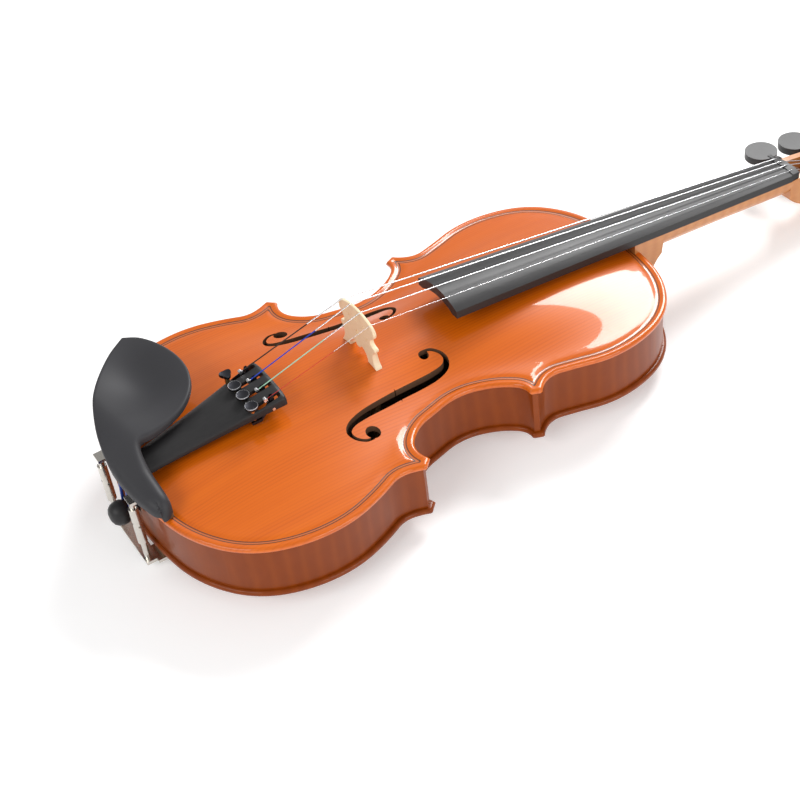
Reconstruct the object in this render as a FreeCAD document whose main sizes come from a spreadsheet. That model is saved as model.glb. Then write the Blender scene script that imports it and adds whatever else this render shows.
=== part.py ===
import FreeCAD, Part
import math
import os
import re
from FreeCAD import Vector, Placement, Rotation

# A full-size violin lying on its back, built piece by piece as it comes apart on a bench.
#
# Maker's frame, in millimetres: x runs across (bass side -, treble side +), y runs from the tail edge of
# the body (0) to the scroll, and z rises from the bench. Every piece is drawn there and then shifted along y
# by the sheet's frame_shift, so that the finished violin is centred on the origin.

DOC = FreeCAD.newDocument("Violin")

# ---------------------------------------------------------------- driving sizes

SIZES = [
    ("body_length", 356.0, "tail edge to neck edge of the plates"),
    ("lower_width", 208.0, "width of the lower bout"),
    ("waist_width", 112.0, "width between the C bouts"),
    ("upper_width", 168.0, "width of the upper bout"),
    ("lower_corner_x", 92.0, "middle of the lower corner's tip"),
    ("upper_corner_x", 81.5, "middle of the upper corner's tip"),
    ("stop_length", 198.0, "neck edge to the bridge line"),
    ("rib_height", 31.0, "ribs between the plates"),
    ("rib_thickness", 1.2, "bent rib"),
    ("overhang", 2.5, "plate edge beyond the ribs"),
    ("edge_thickness", 4.0, "both plates at the edge"),
    ("back_arch", 11.0, "rise of the back above its edge"),
    ("top_arch", 12.0, "rise of the top above its edge"),
    ("top_thickness", 3.0, "top at the middle"),
    ("back_thickness", 4.5, "back at the middle"),
    ("gluing_width", 8.0, "flat edge inside each plate"),
    ("hollow_step", 0.8, "rim of the hollow inside each plate"),
    ("purfling_inset", 4.0, "plate edge to the purfling"),
    ("purfling_width", 1.2, "inlaid strip"),
    ("purfling_depth", 2.0, "inlaid strip"),
    ("lining_thickness", 2.0, "strip inside the ribs"),
    ("lining_height", 7.0, "strip inside the ribs"),
    ("corner_block_depth", 22.0, "corner block along its diagonal"),
    ("end_block_depth", 15.0, "neck and tail blocks along the body"),
    ("end_block_width", 50.0, "neck and tail blocks across"),
    ("heel_button_width", 21.0, "tab of the back behind the heel"),
    ("heel_button_reach", 12.0, "tab of the back behind the heel"),
    ("stem_width", 6.8, "f-hole stem at its middle"),
    ("upper_eye_radius", 3.1, "f-hole upper eye"),
    ("lower_eye_radius", 4.4, "f-hole lower eye"),
    ("bar_thickness", 5.5, "bass bar"),
    ("bar_depth", 11.0, "bass bar at its middle"),
    ("bar_length", 270.0, "bass bar"),
    ("post_radius", 3.1, "sound post"),
    ("board_length", 273.0, "fingerboard"),
    ("board_wide", 42.4, "fingerboard over the body"),
    ("board_narrow", 24.0, "fingerboard at the nut"),
    ("board_edge", 5.0, "fingerboard's side"),
    ("board_radius", 42.0, "round of the playing face"),
    ("neck_length", 130.0, "body edge to the nut"),
    ("neck_slope", 0.11, "fall of the neck per length"),
    ("overstand", 6.0, "neck face above the top's edge"),
    ("neck_depth", 14.0, "neck wood under the fingerboard"),
    ("mortise_depth", 6.0, "heel let into the body"),
    ("nut_length", 5.5, "nut along the neck"),
    ("head_width", 27.0, "pegbox outside at the nut"),
    ("head_length", 102.0, "nut to the end of the scroll"),
    ("pegbox_wall", 4.5, "pegbox cheek"),
    ("scroll_radius", 19.5, "outer turn of the scroll"),
    ("eye_width", 42.0, "scroll across its eyes"),
    ("bridge_height", 33.0, "top's arch to the bridge crown"),
    ("bridge_width", 38.5, "across the feet"),
    ("bridge_radius", 41.0, "round of the bridge crown"),
    ("bridge_foot_thickness", 4.5, "bridge at its feet"),
    ("bridge_crown_thickness", 1.6, "bridge at its crown"),
    ("string_spread", 32.0, "G to E at the bridge"),
    ("nut_spread", 16.4, "G to E at the nut"),
    ("nut_string_gap", 0.5, "string above the playing face at the nut"),
    ("g_radius", 0.40, "G string"),
    ("d_radius", 0.375, "D string"),
    ("a_radius", 0.325, "A string"),
    ("e_radius", 0.15, "E string"),
    ("afterlength", 60.0, "bridge to the tailpiece end"),
    ("tailpiece_gap", 8.0, "tail edge to the tailpiece"),
    ("tailpiece_half_wide", 20.5, "half width at the strings"),
    ("tailpiece_half_narrow", 9.5, "half width at the tail"),
    ("tailpiece_radius", 50.0, "round of its upper face"),
    ("tailpiece_depth", 7.5, "whole depth at the middle"),
    ("tailpiece_wall", 2.5, "shell over the tuners"),
    ("tuner_spacing", 10.2, "between neighbouring tuners"),
    ("tuner_slot", 3.4, "slot for a lever"),
    ("lever_width", 2.6, "tuner lever"),
    ("axle_radius", 1.0, "tuner axle"),
    ("shank_radius", 1.5, "threaded shank of a tuner"),
    ("thread_pitch", 0.5, "tuner thread"),
    ("tuner_head_radius", 4.1, "turning head of a tuner"),
    ("running_clearance", 0.05, "radial, for anything that turns"),
    ("contact_gap", 0.3, "between faces that only meet in use"),
    ("peg_radius", 3.6, "peg at the cheek it enters"),
    ("peg_taper", 0.0333, "diameter lost per length"),
    ("button_end", 15.0, "end button's reach behind the tail edge"),
    ("button_radius", 7.6, "end button's head"),
    ("button_neck_radius", 4.4, "end button where the gut loops"),
    ("button_shank_radius", 4.0, "end button in its hole"),
    ("gut_radius", 1.0, "tailgut"),
    ("gut_half_spacing", 4.5, "tailgut over the saddle"),
    ("saddle_half_width", 13.0, "saddle"),
    ("saddle_depth", 8.0, "saddle along the body"),
    ("saddle_rise", 7.1, "saddle above the top's edge"),
    ("cork_level", 3.5, "chinrest feet above the top's edge"),
    ("rest_height", 30.0, "chinrest rim above the top's edge"),
    ("dish_depth", 8.0, "hollow of the chinrest"),
    ("clamp_bass_reach", 25.0, "bass clamp leg from the middle"),
    ("clamp_treble_reach", 18.0, "treble clamp leg from the middle"),
    ("clamp_offset", 4.8, "clamp legs behind the tail edge"),
    ("clamp_rod_radius", 1.75, "hook rods and foot legs"),
    ("barrel_radius", 2.8, "turnbuckle"),
    ("barrel_length", 27.0, "turnbuckle"),
    ("barrel_hole_radius", 0.8, "cross holes for the key"),
    ("foot_thickness", 2.2, "clamp foot under the back"),
    ("foot_level", 4.6, "clamp foot above the bench"),
]

DERIVED = [
    ("back_glue", "=back_arch + edge_thickness", "inside of the back's edge"),
    ("top_glue", "=back_glue + rib_height", "inside of the top's edge"),
    ("top_edge", "=top_glue + edge_thickness", "outside of the top's edge"),
    ("top_apex", "=top_edge + top_arch", "crown of the top"),
    ("bridge_y", "=body_length - stop_length", "bridge line"),
    ("lower_corner_y", "=bridge_y - 14", "middle of the lower corner's tip"),
    ("waist_y", "=bridge_y + 29.5", "narrowest place"),
    ("upper_corner_y", "=bridge_y + 67.5", "middle of the upper corner's tip"),
    ("lower_y", "=lower_corner_y - 66", "widest place of the lower bout"),
    ("upper_y", "=body_length - 70", "widest place of the upper bout"),
    ("neck_face", "=top_edge + overstand", "neck's upper face over the body edge"),
    ("nut_y", "=body_length + neck_length", "fingerboard's end at the nut"),
    ("board_y", "=nut_y - board_length", "fingerboard's end over the body"),
    ("head_end", "=nut_y + head_length", "end of the scroll"),
    ("bridge_crown", "=top_apex + bridge_height", "bridge crown at the middle"),
    ("mid_rib", "=(back_glue + top_glue) / 2", "height of the end button"),
    ("tailpiece_end", "=bridge_y - afterlength", "tailpiece's wide end"),
    ("feet_level", "=top_edge + cork_level", "underside of the chinrest's feet"),
    ("frame_shift", "=(head_end - button_end) / 2", "tail edge to the middle of the whole violin"),
]

SHEET = DOC.addObject("Spreadsheet::Sheet", "Sizes")
for row, (alias, value, note) in enumerate(SIZES + DERIVED, start=1):
    SHEET.set("A%d" % row, alias)
    SHEET.set("B%d" % row, str(value))
    SHEET.set("C%d" % row, note)
    SHEET.setAlias("B%d" % row, alias)
DOC.recompute()

ALIASES = {alias for alias, _, _ in SIZES + DERIVED}


def size(alias):
    """The value of one named size, in millimetres."""
    return float(SHEET.get(alias))


def formula(text):
    """An expression in which each named size is read from the sheet."""
    return re.sub(r"[a-z_]+", lambda word: ("Sizes." if word.group() in ALIASES else "") + word.group(), text)


def bind(thing, **formulas):
    """Tie properties of a document object to the sheet."""
    for prop, text in formulas.items():
        thing.setExpression(prop.replace("__", "."), formula(text))
    return thing


# ---------------------------------------------------------------- sub-parts and their finish

PARTS = []


def finish(thing, label):
    """Name a finished sub-part and shift it into the violin's own frame."""
    thing.Label = label
    thing.setExpression("Placement.Base.y", formula("%.4f - frame_shift" % thing.Placement.Base.y))
    PARTS.append(thing)
    return thing


def shaped(label, shape):
    """A free-form sub-part whose shape is set here."""
    piece = DOC.addObject("Part::Feature", label)
    piece.Shape = shape
    return finish(piece, label)


def helper(name, shape):
    """A shape that other features are cut or fitted with."""
    tool = DOC.addObject("Part::Feature", name)
    tool.Shape = shape
    return tool


def combine(kind, name, base, tool):
    """A boolean of two document objects."""
    result = DOC.addObject(kind, name)
    result.Base = base
    result.Tool = tool
    return result


def cut(name, base, tool):
    return combine("Part::Cut", name, base, tool)


def common(name, base, tool):
    return combine("Part::Common", name, base, tool)


def box(low, high):
    """A plain block between two corners."""
    low = Vector(*low)
    span = Vector(*high) - low
    return Part.makeBox(span.x, span.y, span.z, low)


def prism(points, low, high):
    """A straight-sided solid over a polygon in plan."""
    ring = [Vector(x, y, low) for x, y in points]
    return Part.Face(Part.makePolygon(ring + ring[:1])).extrude(Vector(0, 0, high - low))


def only_solid(shape):
    """The single solid of a boolean's result, without its compound."""
    return shape.Solids[0] if len(shape.Solids) == 1 else shape


# ---------------------------------------------------------------- body outline

L = size("body_length")
ROUND_END = 0.7446          # where a superellipse of power 2.35 crosses its diagonal
LOWER_TIP = Vector(size("lower_corner_x"), size("lower_corner_y"), 0)
UPPER_TIP = Vector(size("upper_corner_x"), size("upper_corner_y"), 0)
LOWER_TIP_HEADING = 44.5    # way the lower corner points, degrees from +x
UPPER_TIP_HEADING = -24.8


def heading(degrees):
    return Vector(math.cos(math.radians(degrees)), math.sin(math.radians(degrees)), 0)


def tangent_arc(start, direction, end):
    """The arc that leaves start along direction and arrives at end."""
    chord = end - start
    normal = Vector(-direction.y, direction.x, 0)
    bulge = 2 * normal.dot(chord)
    if abs(bulge) < 1e-9:
        return Part.LineSegment(start, end).toShape()
    radius = chord.dot(chord) / bulge
    centre = start + normal * radius
    middle = (start + end) / 2 - centre
    if middle.Length < 1e-9:
        middle = direction
    if (direction.dot(chord)) < 0:
        middle = -middle
    middle.normalize()
    return Part.Arc(start, centre + middle * abs(radius), end).toShape()


def double_arc(start, start_heading, end, end_heading):
    """Two arcs, tangent to each other, between two places with given headings."""
    first = heading(start_heading)
    last = heading(end_heading)
    chord = end - start
    a = 2 * (first.dot(last) - 1)
    b = -2 * chord.dot(first + last)
    c = chord.dot(chord)
    if abs(a) < 1e-9:
        reach = c / -b
    else:
        root = math.sqrt(b * b - 4 * a * c)
        reach = max((-b + root) / (2 * a), (-b - root) / (2 * a))
    knee_in = start + first * reach
    knee_out = end - last * reach
    joint = (knee_in + knee_out) / 2
    across = knee_out - knee_in
    across.normalize()
    return [tangent_arc(start, first, joint), tangent_arc(joint, across, end)]


def half_outline():
    """Edges of the treble half, from the tail round to the neck."""
    wide_low = size("lower_width") / 2
    wide_up = size("upper_width") / 2
    low_y = size("lower_y")
    up_y = size("upper_y")
    up_span = L - up_y
    waist = Vector(size("waist_width") / 2, size("waist_y"), 0)
    lower = [
        (Vector(0, 0, 0), 0),
        (Vector(wide_low * ROUND_END, low_y * (1 - ROUND_END), 0), math.degrees(math.atan2(low_y, wide_low))),
        (Vector(wide_low, low_y, 0), 90),
        (LOWER_TIP + Vector(0.5, -23.5, 0), 116),
        (LOWER_TIP + Vector(2.7, -2.7, 0), 62),
    ]
    waisted = [
        (LOWER_TIP + Vector(-2.7, 2.8, 0), 212),
        (waist + Vector(4.5, -22.5, 0), 104),
        (waist, 90),
        (waist + Vector(6.0, 21.5, 0), 62),
        (UPPER_TIP + Vector(-1.5, -3.3, 0), -12),
    ]
    upper = [
        (UPPER_TIP + Vector(1.5, 3.2, 0), 142),
        (UPPER_TIP + Vector(-6.0, 21.5, 0), 76),
        (Vector(wide_up, up_y, 0), 90),
        (Vector(wide_up * ROUND_END, up_y + up_span * ROUND_END, 0),
         180 - math.degrees(math.atan2(up_span, wide_up))),
        (Vector(0, L, 0), 180),
    ]
    edges = []
    for run in (lower, waisted, upper):
        if edges:
            corner_end = run[0][0]
            edges.append(Part.LineSegment(last_point, corner_end).toShape())
        for (start, turn_in), (end, turn_out) in zip(run, run[1:]):
            edges += double_arc(start, turn_in, end, turn_out)
        last_point = run[-1][0]
    return edges


def mirrored_edge(edge):
    """The same arc or line on the bass side."""
    places = [edge.valueAt(edge.FirstParameter + (edge.LastParameter - edge.FirstParameter) * share)
              for share in (0, 0.5, 1)]
    start, middle, end = [Vector(-place.x, place.y, 0) for place in places]
    if isinstance(edge.Curve, Part.Line):
        return Part.LineSegment(start, end).toShape()
    return Part.Arc(start, middle, end).toShape()


def body_outline():
    """The closed outline of both plates, in plan."""
    treble = half_outline()
    return Part.Wire(Part.__sortEdges__(treble + [mirrored_edge(edge) for edge in treble]))


OUTLINE = body_outline()


def inset_outline(distance):
    """The outline moved inwards."""
    return OUTLINE.makeOffset2D(-distance, 2, False, False, False)


def outline_prism(distance, low, high):
    """A solid inside the outline moved inwards by a distance."""
    wire = OUTLINE if distance == 0 else inset_outline(distance)
    face = Part.Face(wire)
    face.translate(Vector(0, 0, low))
    return face.extrude(Vector(0, 0, high - low))


def ring_prism(outer, inner, low, high):
    """A band that follows the outline."""
    return outline_prism(outer, low, high).cut(outline_prism(inner, low, high))


# ---------------------------------------------------------------- arched plates

LONG_ARCH_POWER = 3.2       # how full the long arch is
CROSS_ARCH_POWER = 1.25     # how full the cross arch is
ARCH_GRID = 12.0            # spacing of the arch's control grid
ARCH_MARGIN = 6.0           # grid beyond the outline


def blend_between(value, start, end, low, high):
    """A smooth cosine step from low to high."""
    share = min(max((value - start) / (end - start), 0), 1)
    return low + (high - low) * 0.5 * (1 - math.cos(math.pi * share))


def arch_half_width(y, inset):
    """How far from the middle the cross arch dies out."""
    wide_low = size("lower_width") / 2 - inset
    narrow = size("waist_width") / 2 - inset
    wide_up = size("upper_width") / 2 - inset
    low_y = size("lower_y")
    up_y = size("upper_y")
    if y < low_y:
        share = min(max((low_y - y) / (low_y - inset), 0), 0.995)
        return wide_low * (1 - share ** 2.35) ** (1 / 2.35)
    if y > up_y:
        share = min(max((y - up_y) / (L - inset - up_y), 0), 0.995)
        return wide_up * (1 - share ** 2.35) ** (1 / 2.35)
    waist_y = size("waist_y")
    if y < waist_y:
        return blend_between(y, low_y, waist_y, wide_low, narrow)
    return blend_between(y, waist_y, up_y, narrow, wide_up)


def arch_share(x, y, inset):
    """Height of the arch at a place, as a share of its crown."""
    along = 1 - abs(2 * (y - inset) / (L - 2 * inset) - 1) ** LONG_ARCH_POWER
    across = abs(x) / arch_half_width(y, inset)
    if along <= 0 or across >= 1:
        return 0.0
    return along * 0.5 * (1 + math.cos(math.pi * across ** CROSS_ARCH_POWER))


def under_arch(base, rise, inset, floor):
    """Everything between a level floor and an arched face."""
    half = size("lower_width") / 2 + ARCH_MARGIN
    columns = 2 * int(math.ceil(half / ARCH_GRID)) + 1
    rows = int(math.ceil((L + 2 * ARCH_MARGIN) / ARCH_GRID)) + 1
    grid = []
    for i in range(columns):
        x = -half + 2 * half * i / (columns - 1)
        line = []
        for j in range(rows):
            y = -ARCH_MARGIN + (L + 2 * ARCH_MARGIN) * j / (rows - 1)
            line.append(Vector(x, y, base + rise * arch_share(x, y, inset)))
        grid.append(line)
    surface = Part.BSplineSurface()
    surface.interpolate(grid)
    away = 1 if floor > base else -1
    block = surface.toShape().extrude(Vector(0, 0, away * (abs(floor - base) + abs(rise) + ARCH_MARGIN)))
    top = max(floor, base + 2 * rise)
    low = min(floor, base + 2 * rise)
    return block.common(box((-half, -ARCH_MARGIN, low), (half, L + ARCH_MARGIN, top)))


PLATE_INSET = 6.0           # the outer arch dies out this far inside the edge
HOLLOW_INSET = 11.0         # and the hollow inside it here


def top_cavity():
    """The air under the top's arch."""
    base = size("top_glue") + size("hollow_step")
    rise = size("top_apex") - size("top_thickness") - base
    under = under_arch(base, rise, HOLLOW_INSET, size("top_glue") - 2)
    inside = outline_prism(size("gluing_width"), size("top_glue") - 1, size("top_apex"))
    return under.common(inside)


def back_cavity():
    """The air over the back's arch."""
    base = size("back_glue") - size("hollow_step")
    rise = base - size("back_thickness")
    over = under_arch(base, -rise, HOLLOW_INSET, size("back_glue") + 2)
    inside = outline_prism(size("gluing_width"), 0, size("back_glue") + 1)
    return over.common(inside)


STEM_X = 38.9               # middle of an f-hole's stem at its nicks


def f_hole(side):
    """Cutter for one f-hole: side is +1 for treble, -1 for bass."""
    bridge = size("bridge_y")
    low = size("top_glue") - 2
    tall = size("top_apex") - low + 5
    upper_eye = Vector(22.4, bridge + 28.6, low)
    lower_eye = Vector(55.2, bridge - 27.2, low)
    half_stem = size("stem_width") / 2
    # middle line and half width of the cut: upper eye, crest, stem, trough, lower eye
    route = [(20.2, 29.2, 0.9), (21.2, 34.0, 1.0), (25.4, 38.0, 1.1), (30.2, 38.8, 1.5), (34.6, 35.2, 2.3),
             (36.8, 26.5, 3.1), (37.8, 14.0, half_stem), (38.8, 1.5, half_stem), (40.4, -11.5, half_stem),
             (42.2, -24.5, 3.0), (45.0, -34.6, 2.2), (49.4, -39.4, 1.5), (54.8, -38.4, 1.1),
             (58.6, -33.8, 1.0), (59.0, -28.8, 0.9)]
    centres = [Vector(x, bridge + dy, low) for x, dy, _ in route]
    inner = []
    outer = []
    for k, (_, _, half) in enumerate(route):
        ahead = centres[min(k + 1, len(centres) - 1)] - centres[max(k - 1, 0)]
        ahead.normalize()
        normal = Vector(-ahead.y, ahead.x, 0)
        outer.append(centres[k] + normal * half)
        inner.append(centres[k] - normal * half)
    one_side = Part.BSplineCurve()
    one_side.interpolate(outer)
    other_side = Part.BSplineCurve()
    other_side.interpolate(inner)
    caps = [Part.LineSegment(outer[0], inner[0]).toShape(), Part.LineSegment(outer[-1], inner[-1]).toShape()]
    stem = Part.Face(Part.Wire(Part.__sortEdges__([one_side.toShape(), other_side.toShape()] + caps)))
    cutter = stem.extrude(Vector(0, 0, tall))
    cutter = cutter.fuse([Part.makeCylinder(size("upper_eye_radius"), tall, upper_eye),
                          Part.makeCylinder(size("lower_eye_radius"), tall, lower_eye)])
    for across in (-1, 1):
        edge_x = STEM_X + across * half_stem
        cutter = cutter.fuse(prism([(edge_x - across, bridge - 1.2), (edge_x + across * 1.6, bridge),
                                    (edge_x - across, bridge + 1.2)], low, low + tall))
    if side < 0:
        cutter = cutter.mirror(Vector(0, 0, 0), Vector(1, 0, 0))
    return cutter


def plate_blanks():
    """Both plates before their inlay and notches."""
    top = outline_prism(0, size("top_glue"), size("top_apex") + 5)
    top = top.common(under_arch(size("top_edge"), size("top_arch"), PLATE_INSET, size("top_glue") - 1))
    top = top.cut(top_cavity())
    for side in (-1, 1):
        top = top.cut(f_hole(side))
    tab_half = size("heel_button_width") / 2
    reach = size("heel_button_reach")
    level = size("back_arch")
    tab = box((-tab_half, L - 6, level), (tab_half, L + reach - tab_half, size("back_glue")))
    round_end = Vector(0, L + reach - tab_half, level)
    tab = tab.fuse(Part.makeCylinder(tab_half, size("edge_thickness"), round_end))
    back = outline_prism(0, -2, size("back_glue"))
    back = back.common(under_arch(size("back_arch"), -size("back_arch"), PLATE_INSET, size("back_glue") + 1))
    back = back.cut(back_cavity())
    back = back.fuse(tab)
    return only_solid(top), only_solid(back)


# ---------------------------------------------------------------- neck and scroll

def neck_level(y):
    """Height of the neck's upper face at a place along it."""
    return size("neck_face") + (L - y) * size("neck_slope")


def board_half_width(y):
    share = (y - size("board_y")) / size("board_length")
    return (size("board_wide") * (1 - share) + size("board_narrow") * share) / 2


def shaft_section(y, half_width, depth):
    """A D-shaped section of the neck, flat on top."""
    top = neck_level(y)
    left = Vector(-half_width, y, top)
    right = Vector(half_width, y, top)
    low_left = Vector(-half_width * 0.72, y, top - depth * 0.72)
    low_right = Vector(half_width * 0.72, y, top - depth * 0.72)
    belly = Part.BSplineCurve()
    belly.interpolate([right, low_right, Vector(0, y, top - depth), low_left, left])
    return Part.Wire([Part.LineSegment(left, right).toShape(), belly.toShape()])


def neck_shaft():
    """The part of the neck that the hand holds."""
    nut_end = size("nut_y") + size("nut_length") + 1
    start = L + 16
    sections = [shaft_section(start, board_half_width(start) - 0.4, size("neck_depth") + 1.5),
                shaft_section((start + nut_end) / 2, board_half_width((start + nut_end) / 2) - 0.4,
                              size("neck_depth") + 0.5),
                shaft_section(nut_end, board_half_width(size("nut_y")) - 0.2, size("neck_depth"))]
    return Part.makeLoft(sections, True, False)


def neck_heel():
    """The heel, let into the body down to the back's button."""
    base = size("back_glue")
    foot = L - size("mortise_depth")
    end = L + 16
    shaft_low = neck_level(end) - size("neck_depth") - 1.5
    half_top = board_half_width(L)
    profile = [Vector(0, foot, base), Vector(0, L + size("heel_button_reach") - 1.2, base)]
    curve = Part.Arc(profile[1], Vector(0, L + 11.0, (base + shaft_low) / 2), Vector(0, end + 1, shaft_low))
    front_top = Vector(0, end + 1, neck_level(end + 1))
    back_top = Vector(0, foot, neck_level(foot))
    edges = [Part.LineSegment(profile[0], profile[1]).toShape(), curve.toShape(),
             Part.LineSegment(Vector(0, end + 1, shaft_low), front_top).toShape(),
             Part.LineSegment(front_top, back_top).toShape(),
             Part.LineSegment(back_top, profile[0]).toShape()]
    side_view = Part.Face(Part.Wire(edges))
    side_view.translate(Vector(-30, 0, 0))
    block = side_view.extrude(Vector(60, 0, 0))
    low_half = size("heel_button_width") / 2 - 0.4
    top_level = neck_level(foot)
    front = [Vector(-low_half, 0, base), Vector(low_half, 0, base), Vector(half_top - 0.4, 0, top_level - 8),
             Vector(half_top - 0.4, 0, top_level + 1), Vector(-half_top + 0.4, 0, top_level + 1),
             Vector(-half_top + 0.4, 0, top_level - 8)]
    front_face = Part.Face(Part.makePolygon([p + Vector(0, foot, 0) for p in front + front[:1]]))
    tapered = front_face.extrude(Vector(0, end + 2 - foot, 0))
    return block.common(tapered)


PEG_STATIONS = {"g": 15.0, "e": 29.0, "d": 44.0, "a": 58.0}   # from the nut along the pegbox
PEG_SIDES = {"g": -1, "d": -1, "a": 1, "e": 1}
PEG_BELOW_FACE = 11.0       # peg's axis under the neck's upper face
EYE_FROM_END = 19.6         # scroll's eye from the end of the head
EYE_BELOW_FACE = 14.4       # scroll's eye under the neck's upper face
PEGBOX_LENGTH = 68.0        # hollow of the pegbox


def peg_centre(string):
    y = size("nut_y") + size("nut_length") + PEG_STATIONS[string]
    return Vector(0, y, neck_level(y) - PEG_BELOW_FACE)


def cheek_half_width(y):
    """Outside half width of the pegbox at a place along it."""
    start = size("nut_y")
    share = min(max((y - start) / 80.0, 0), 1)
    return size("head_width") / 2 * (1 - share) + 8.0 * share


def pegbox():
    """The pegbox's outside, from the nut to the throat of the scroll."""
    start = size("nut_y") - 1
    end = size("head_end") - EYE_FROM_END
    sections = []
    # place along the pegbox, cheek above the neck's face, whole depth
    stations = ((0.0, 0.0, 14.5), (0.16, 2.0, 23.5), (0.5, 2.5, 25.0), (0.8, 4.0, 24.5), (1.0, 6.0, 24.0))
    for share, rise, depth in stations:
        y = start + (end - start) * share
        half = cheek_half_width(y)
        if share == 0.0:
            half = board_half_width(size("nut_y")) - 0.2
        top = neck_level(y) + rise
        corners = [Vector(-half, y, top - depth), Vector(half, y, top - depth), Vector(half, y, top),
                   Vector(-half, y, top)]
        sections.append(Part.makePolygon(corners + corners[:1]))
    return Part.makeLoft(sections, True, False)


def volute():
    """The scroll: wedges round its eye, each smaller and wider than the one before."""
    eye_y = size("head_end") - EYE_FROM_END
    eye = Vector(0, eye_y, neck_level(eye_y) - EYE_BELOW_FACE)
    wedges = []
    steps = 17
    for k in range(steps):
        share = k / (steps - 1)
        radius = size("scroll_radius") * (1 - 0.78 * share ** 0.9)
        half = 7.0 + (size("eye_width") / 2 - 7.0) * share
        wedge = Part.makeCylinder(radius, 2 * half, Vector(-half, 0, 0), Vector(1, 0, 0), 45)
        wedge.rotate(Vector(0, 0, 0), Vector(1, 0, 0), 225 - 45 * k)
        wedge.translate(eye)
        wedges.append(wedge)
    return wedges[0].fuse(wedges[1:]).removeSplitter()


def pegbox_hollow():
    """The slot between the cheeks."""
    start = size("nut_y") + size("nut_length")
    end = start + PEGBOX_LENGTH
    wall = size("pegbox_wall")
    sections = []
    for y, depth in ((start, 15.0), (start + 0.45 * PEGBOX_LENGTH, 18.0), (end, 16.5)):
        half = cheek_half_width(y) - wall
        top = neck_level(y)
        corners = [Vector(-half, y, top - depth), Vector(half, y, top - depth), Vector(half, y, top + 14),
                   Vector(-half, y, top + 14)]
        sections.append(Part.makePolygon(corners + corners[:1]))
    return Part.makeLoft(sections, True, True)


def peg_cone(string, clearance):
    """The tapered shank of a peg, or its hole, right through the pegbox."""
    side = PEG_SIDES[string]
    centre = peg_centre(string)
    cheek = cheek_half_width(centre.y)
    start = cheek + 12.0
    length = start + cheek + 1.0
    thick = size("peg_radius") + 12.0 * size("peg_taper") / 2
    thin = thick - length * size("peg_taper") / 2
    cone = Part.makeCone(thick + clearance, thin + clearance, length,
                         Vector(side * start, centre.y, centre.z), Vector(-side, 0, 0))
    return cone


def neck_and_scroll():
    """One piece of maple: heel, shaft, pegbox and scroll."""
    neck = neck_shaft().fuse([neck_heel(), pegbox(), volute()])
    neck = neck.cut(pegbox_hollow())
    for string in PEG_STATIONS:
        neck = neck.cut(peg_cone(string, size("running_clearance")))
    return only_solid(neck)


def crowned_section(y, half_width, below, radius):
    """A board's section: flat underneath, round on top."""
    edge_top = neck_level(y) + size("board_edge")
    low = neck_level(y) + below
    sagitta = radius - math.sqrt(radius ** 2 - half_width ** 2)
    left = Vector(-half_width, y, edge_top)
    right = Vector(half_width, y, edge_top)
    return Part.Wire([Part.LineSegment(Vector(-half_width, y, low), Vector(half_width, y, low)).toShape(),
                      Part.LineSegment(Vector(half_width, y, low), right).toShape(),
                      Part.Arc(right, Vector(0, y, edge_top + sagitta), left).toShape(),
                      Part.LineSegment(left, Vector(-half_width, y, low)).toShape()])


def fingerboard():
    """The playing board, hollowed underneath where it stands clear of the body."""
    start = size("board_y")
    end = size("nut_y")
    radius = size("board_radius")
    board = Part.makeLoft([crowned_section(start, board_half_width(start), 0, radius),
                           crowned_section(end, board_half_width(end), 0, radius)], True, True)
    hollow_end = L - 12
    hollows = []
    for y, scale in ((start - 1, 1.0), (hollow_end, 0.78)):
        half = (board_half_width(start) - 3.2) * scale
        low = neck_level(y) - 1
        rise = 4.6 * scale
        left = Vector(-half, y, low)
        right = Vector(half, y, low)
        hollows.append(Part.Wire([Part.LineSegment(left, right).toShape(),
                                  Part.Arc(right, Vector(0, y, low + 1 + rise), left).toShape()]))
    return board.cut(Part.makeLoft(hollows, True, True))


# ---------------------------------------------------------------- strings

STRINGS = ("g", "d", "a", "e")
STRING_ORDER = {"g": -1.5, "d": -0.5, "a": 0.5, "e": 1.5}
HOOK_BACK = 9.0             # tuner axle behind the tailpiece's end
HOOK_RISE = 6.0             # string over the axle
AXLE_BELOW = 5.8            # axle under the tailpiece's upper face
HEAD_BACK = 20.5            # tuner head behind the tailpiece's end


def string_radius(string):
    return size(string + "_radius")


def tailpiece_level(y):
    """Height of the tailpiece's upper face at its middle line."""
    start = size("tailpiece_gap")
    low = size("top_edge") + 13.5
    high = size("top_edge") + 26.0
    return low + (high - low) * (y - start) / (size("tailpiece_end") - start)


def tailpiece_drop(x):
    """Fall of the tailpiece's upper face away from its middle line."""
    radius = size("tailpiece_radius")
    return radius - math.sqrt(radius ** 2 - x ** 2)


def tuner_x(string):
    return STRING_ORDER[string] * size("tuner_spacing")


def axle_centre():
    y = size("tailpiece_end") - HOOK_BACK
    return Vector(0, y, tailpiece_level(y) - AXLE_BELOW)


def bridge_seat(string):
    """Where a string crosses the bridge."""
    x = STRING_ORDER[string] / 3 * size("string_spread")
    radius = size("bridge_radius")
    level = size("bridge_crown") - (radius - math.sqrt(radius ** 2 - x ** 2))
    return Vector(x, size("bridge_y"), level)


def nut_seat(string):
    """Where a string leaves the nut for its peg."""
    x = STRING_ORDER[string] / 3 * size("nut_spread")
    radius = size("board_radius")
    y = size("nut_y")
    crown = neck_level(y) + size("board_edge") + radius - math.sqrt(radius ** 2 - board_half_width(y) ** 2)
    face = crown - (radius - math.sqrt(radius ** 2 - x ** 2))
    level = face + size("nut_string_gap") + string_radius(string)
    return Vector(x, y + size("nut_length") / 2, level)


def winding_x(string):
    """Middle of a string's turns on its peg."""
    return PEG_SIDES[string] * 2.6


def winding_radius(string):
    return size("peg_radius") + 2 * string_radius(string) + 0.1


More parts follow.
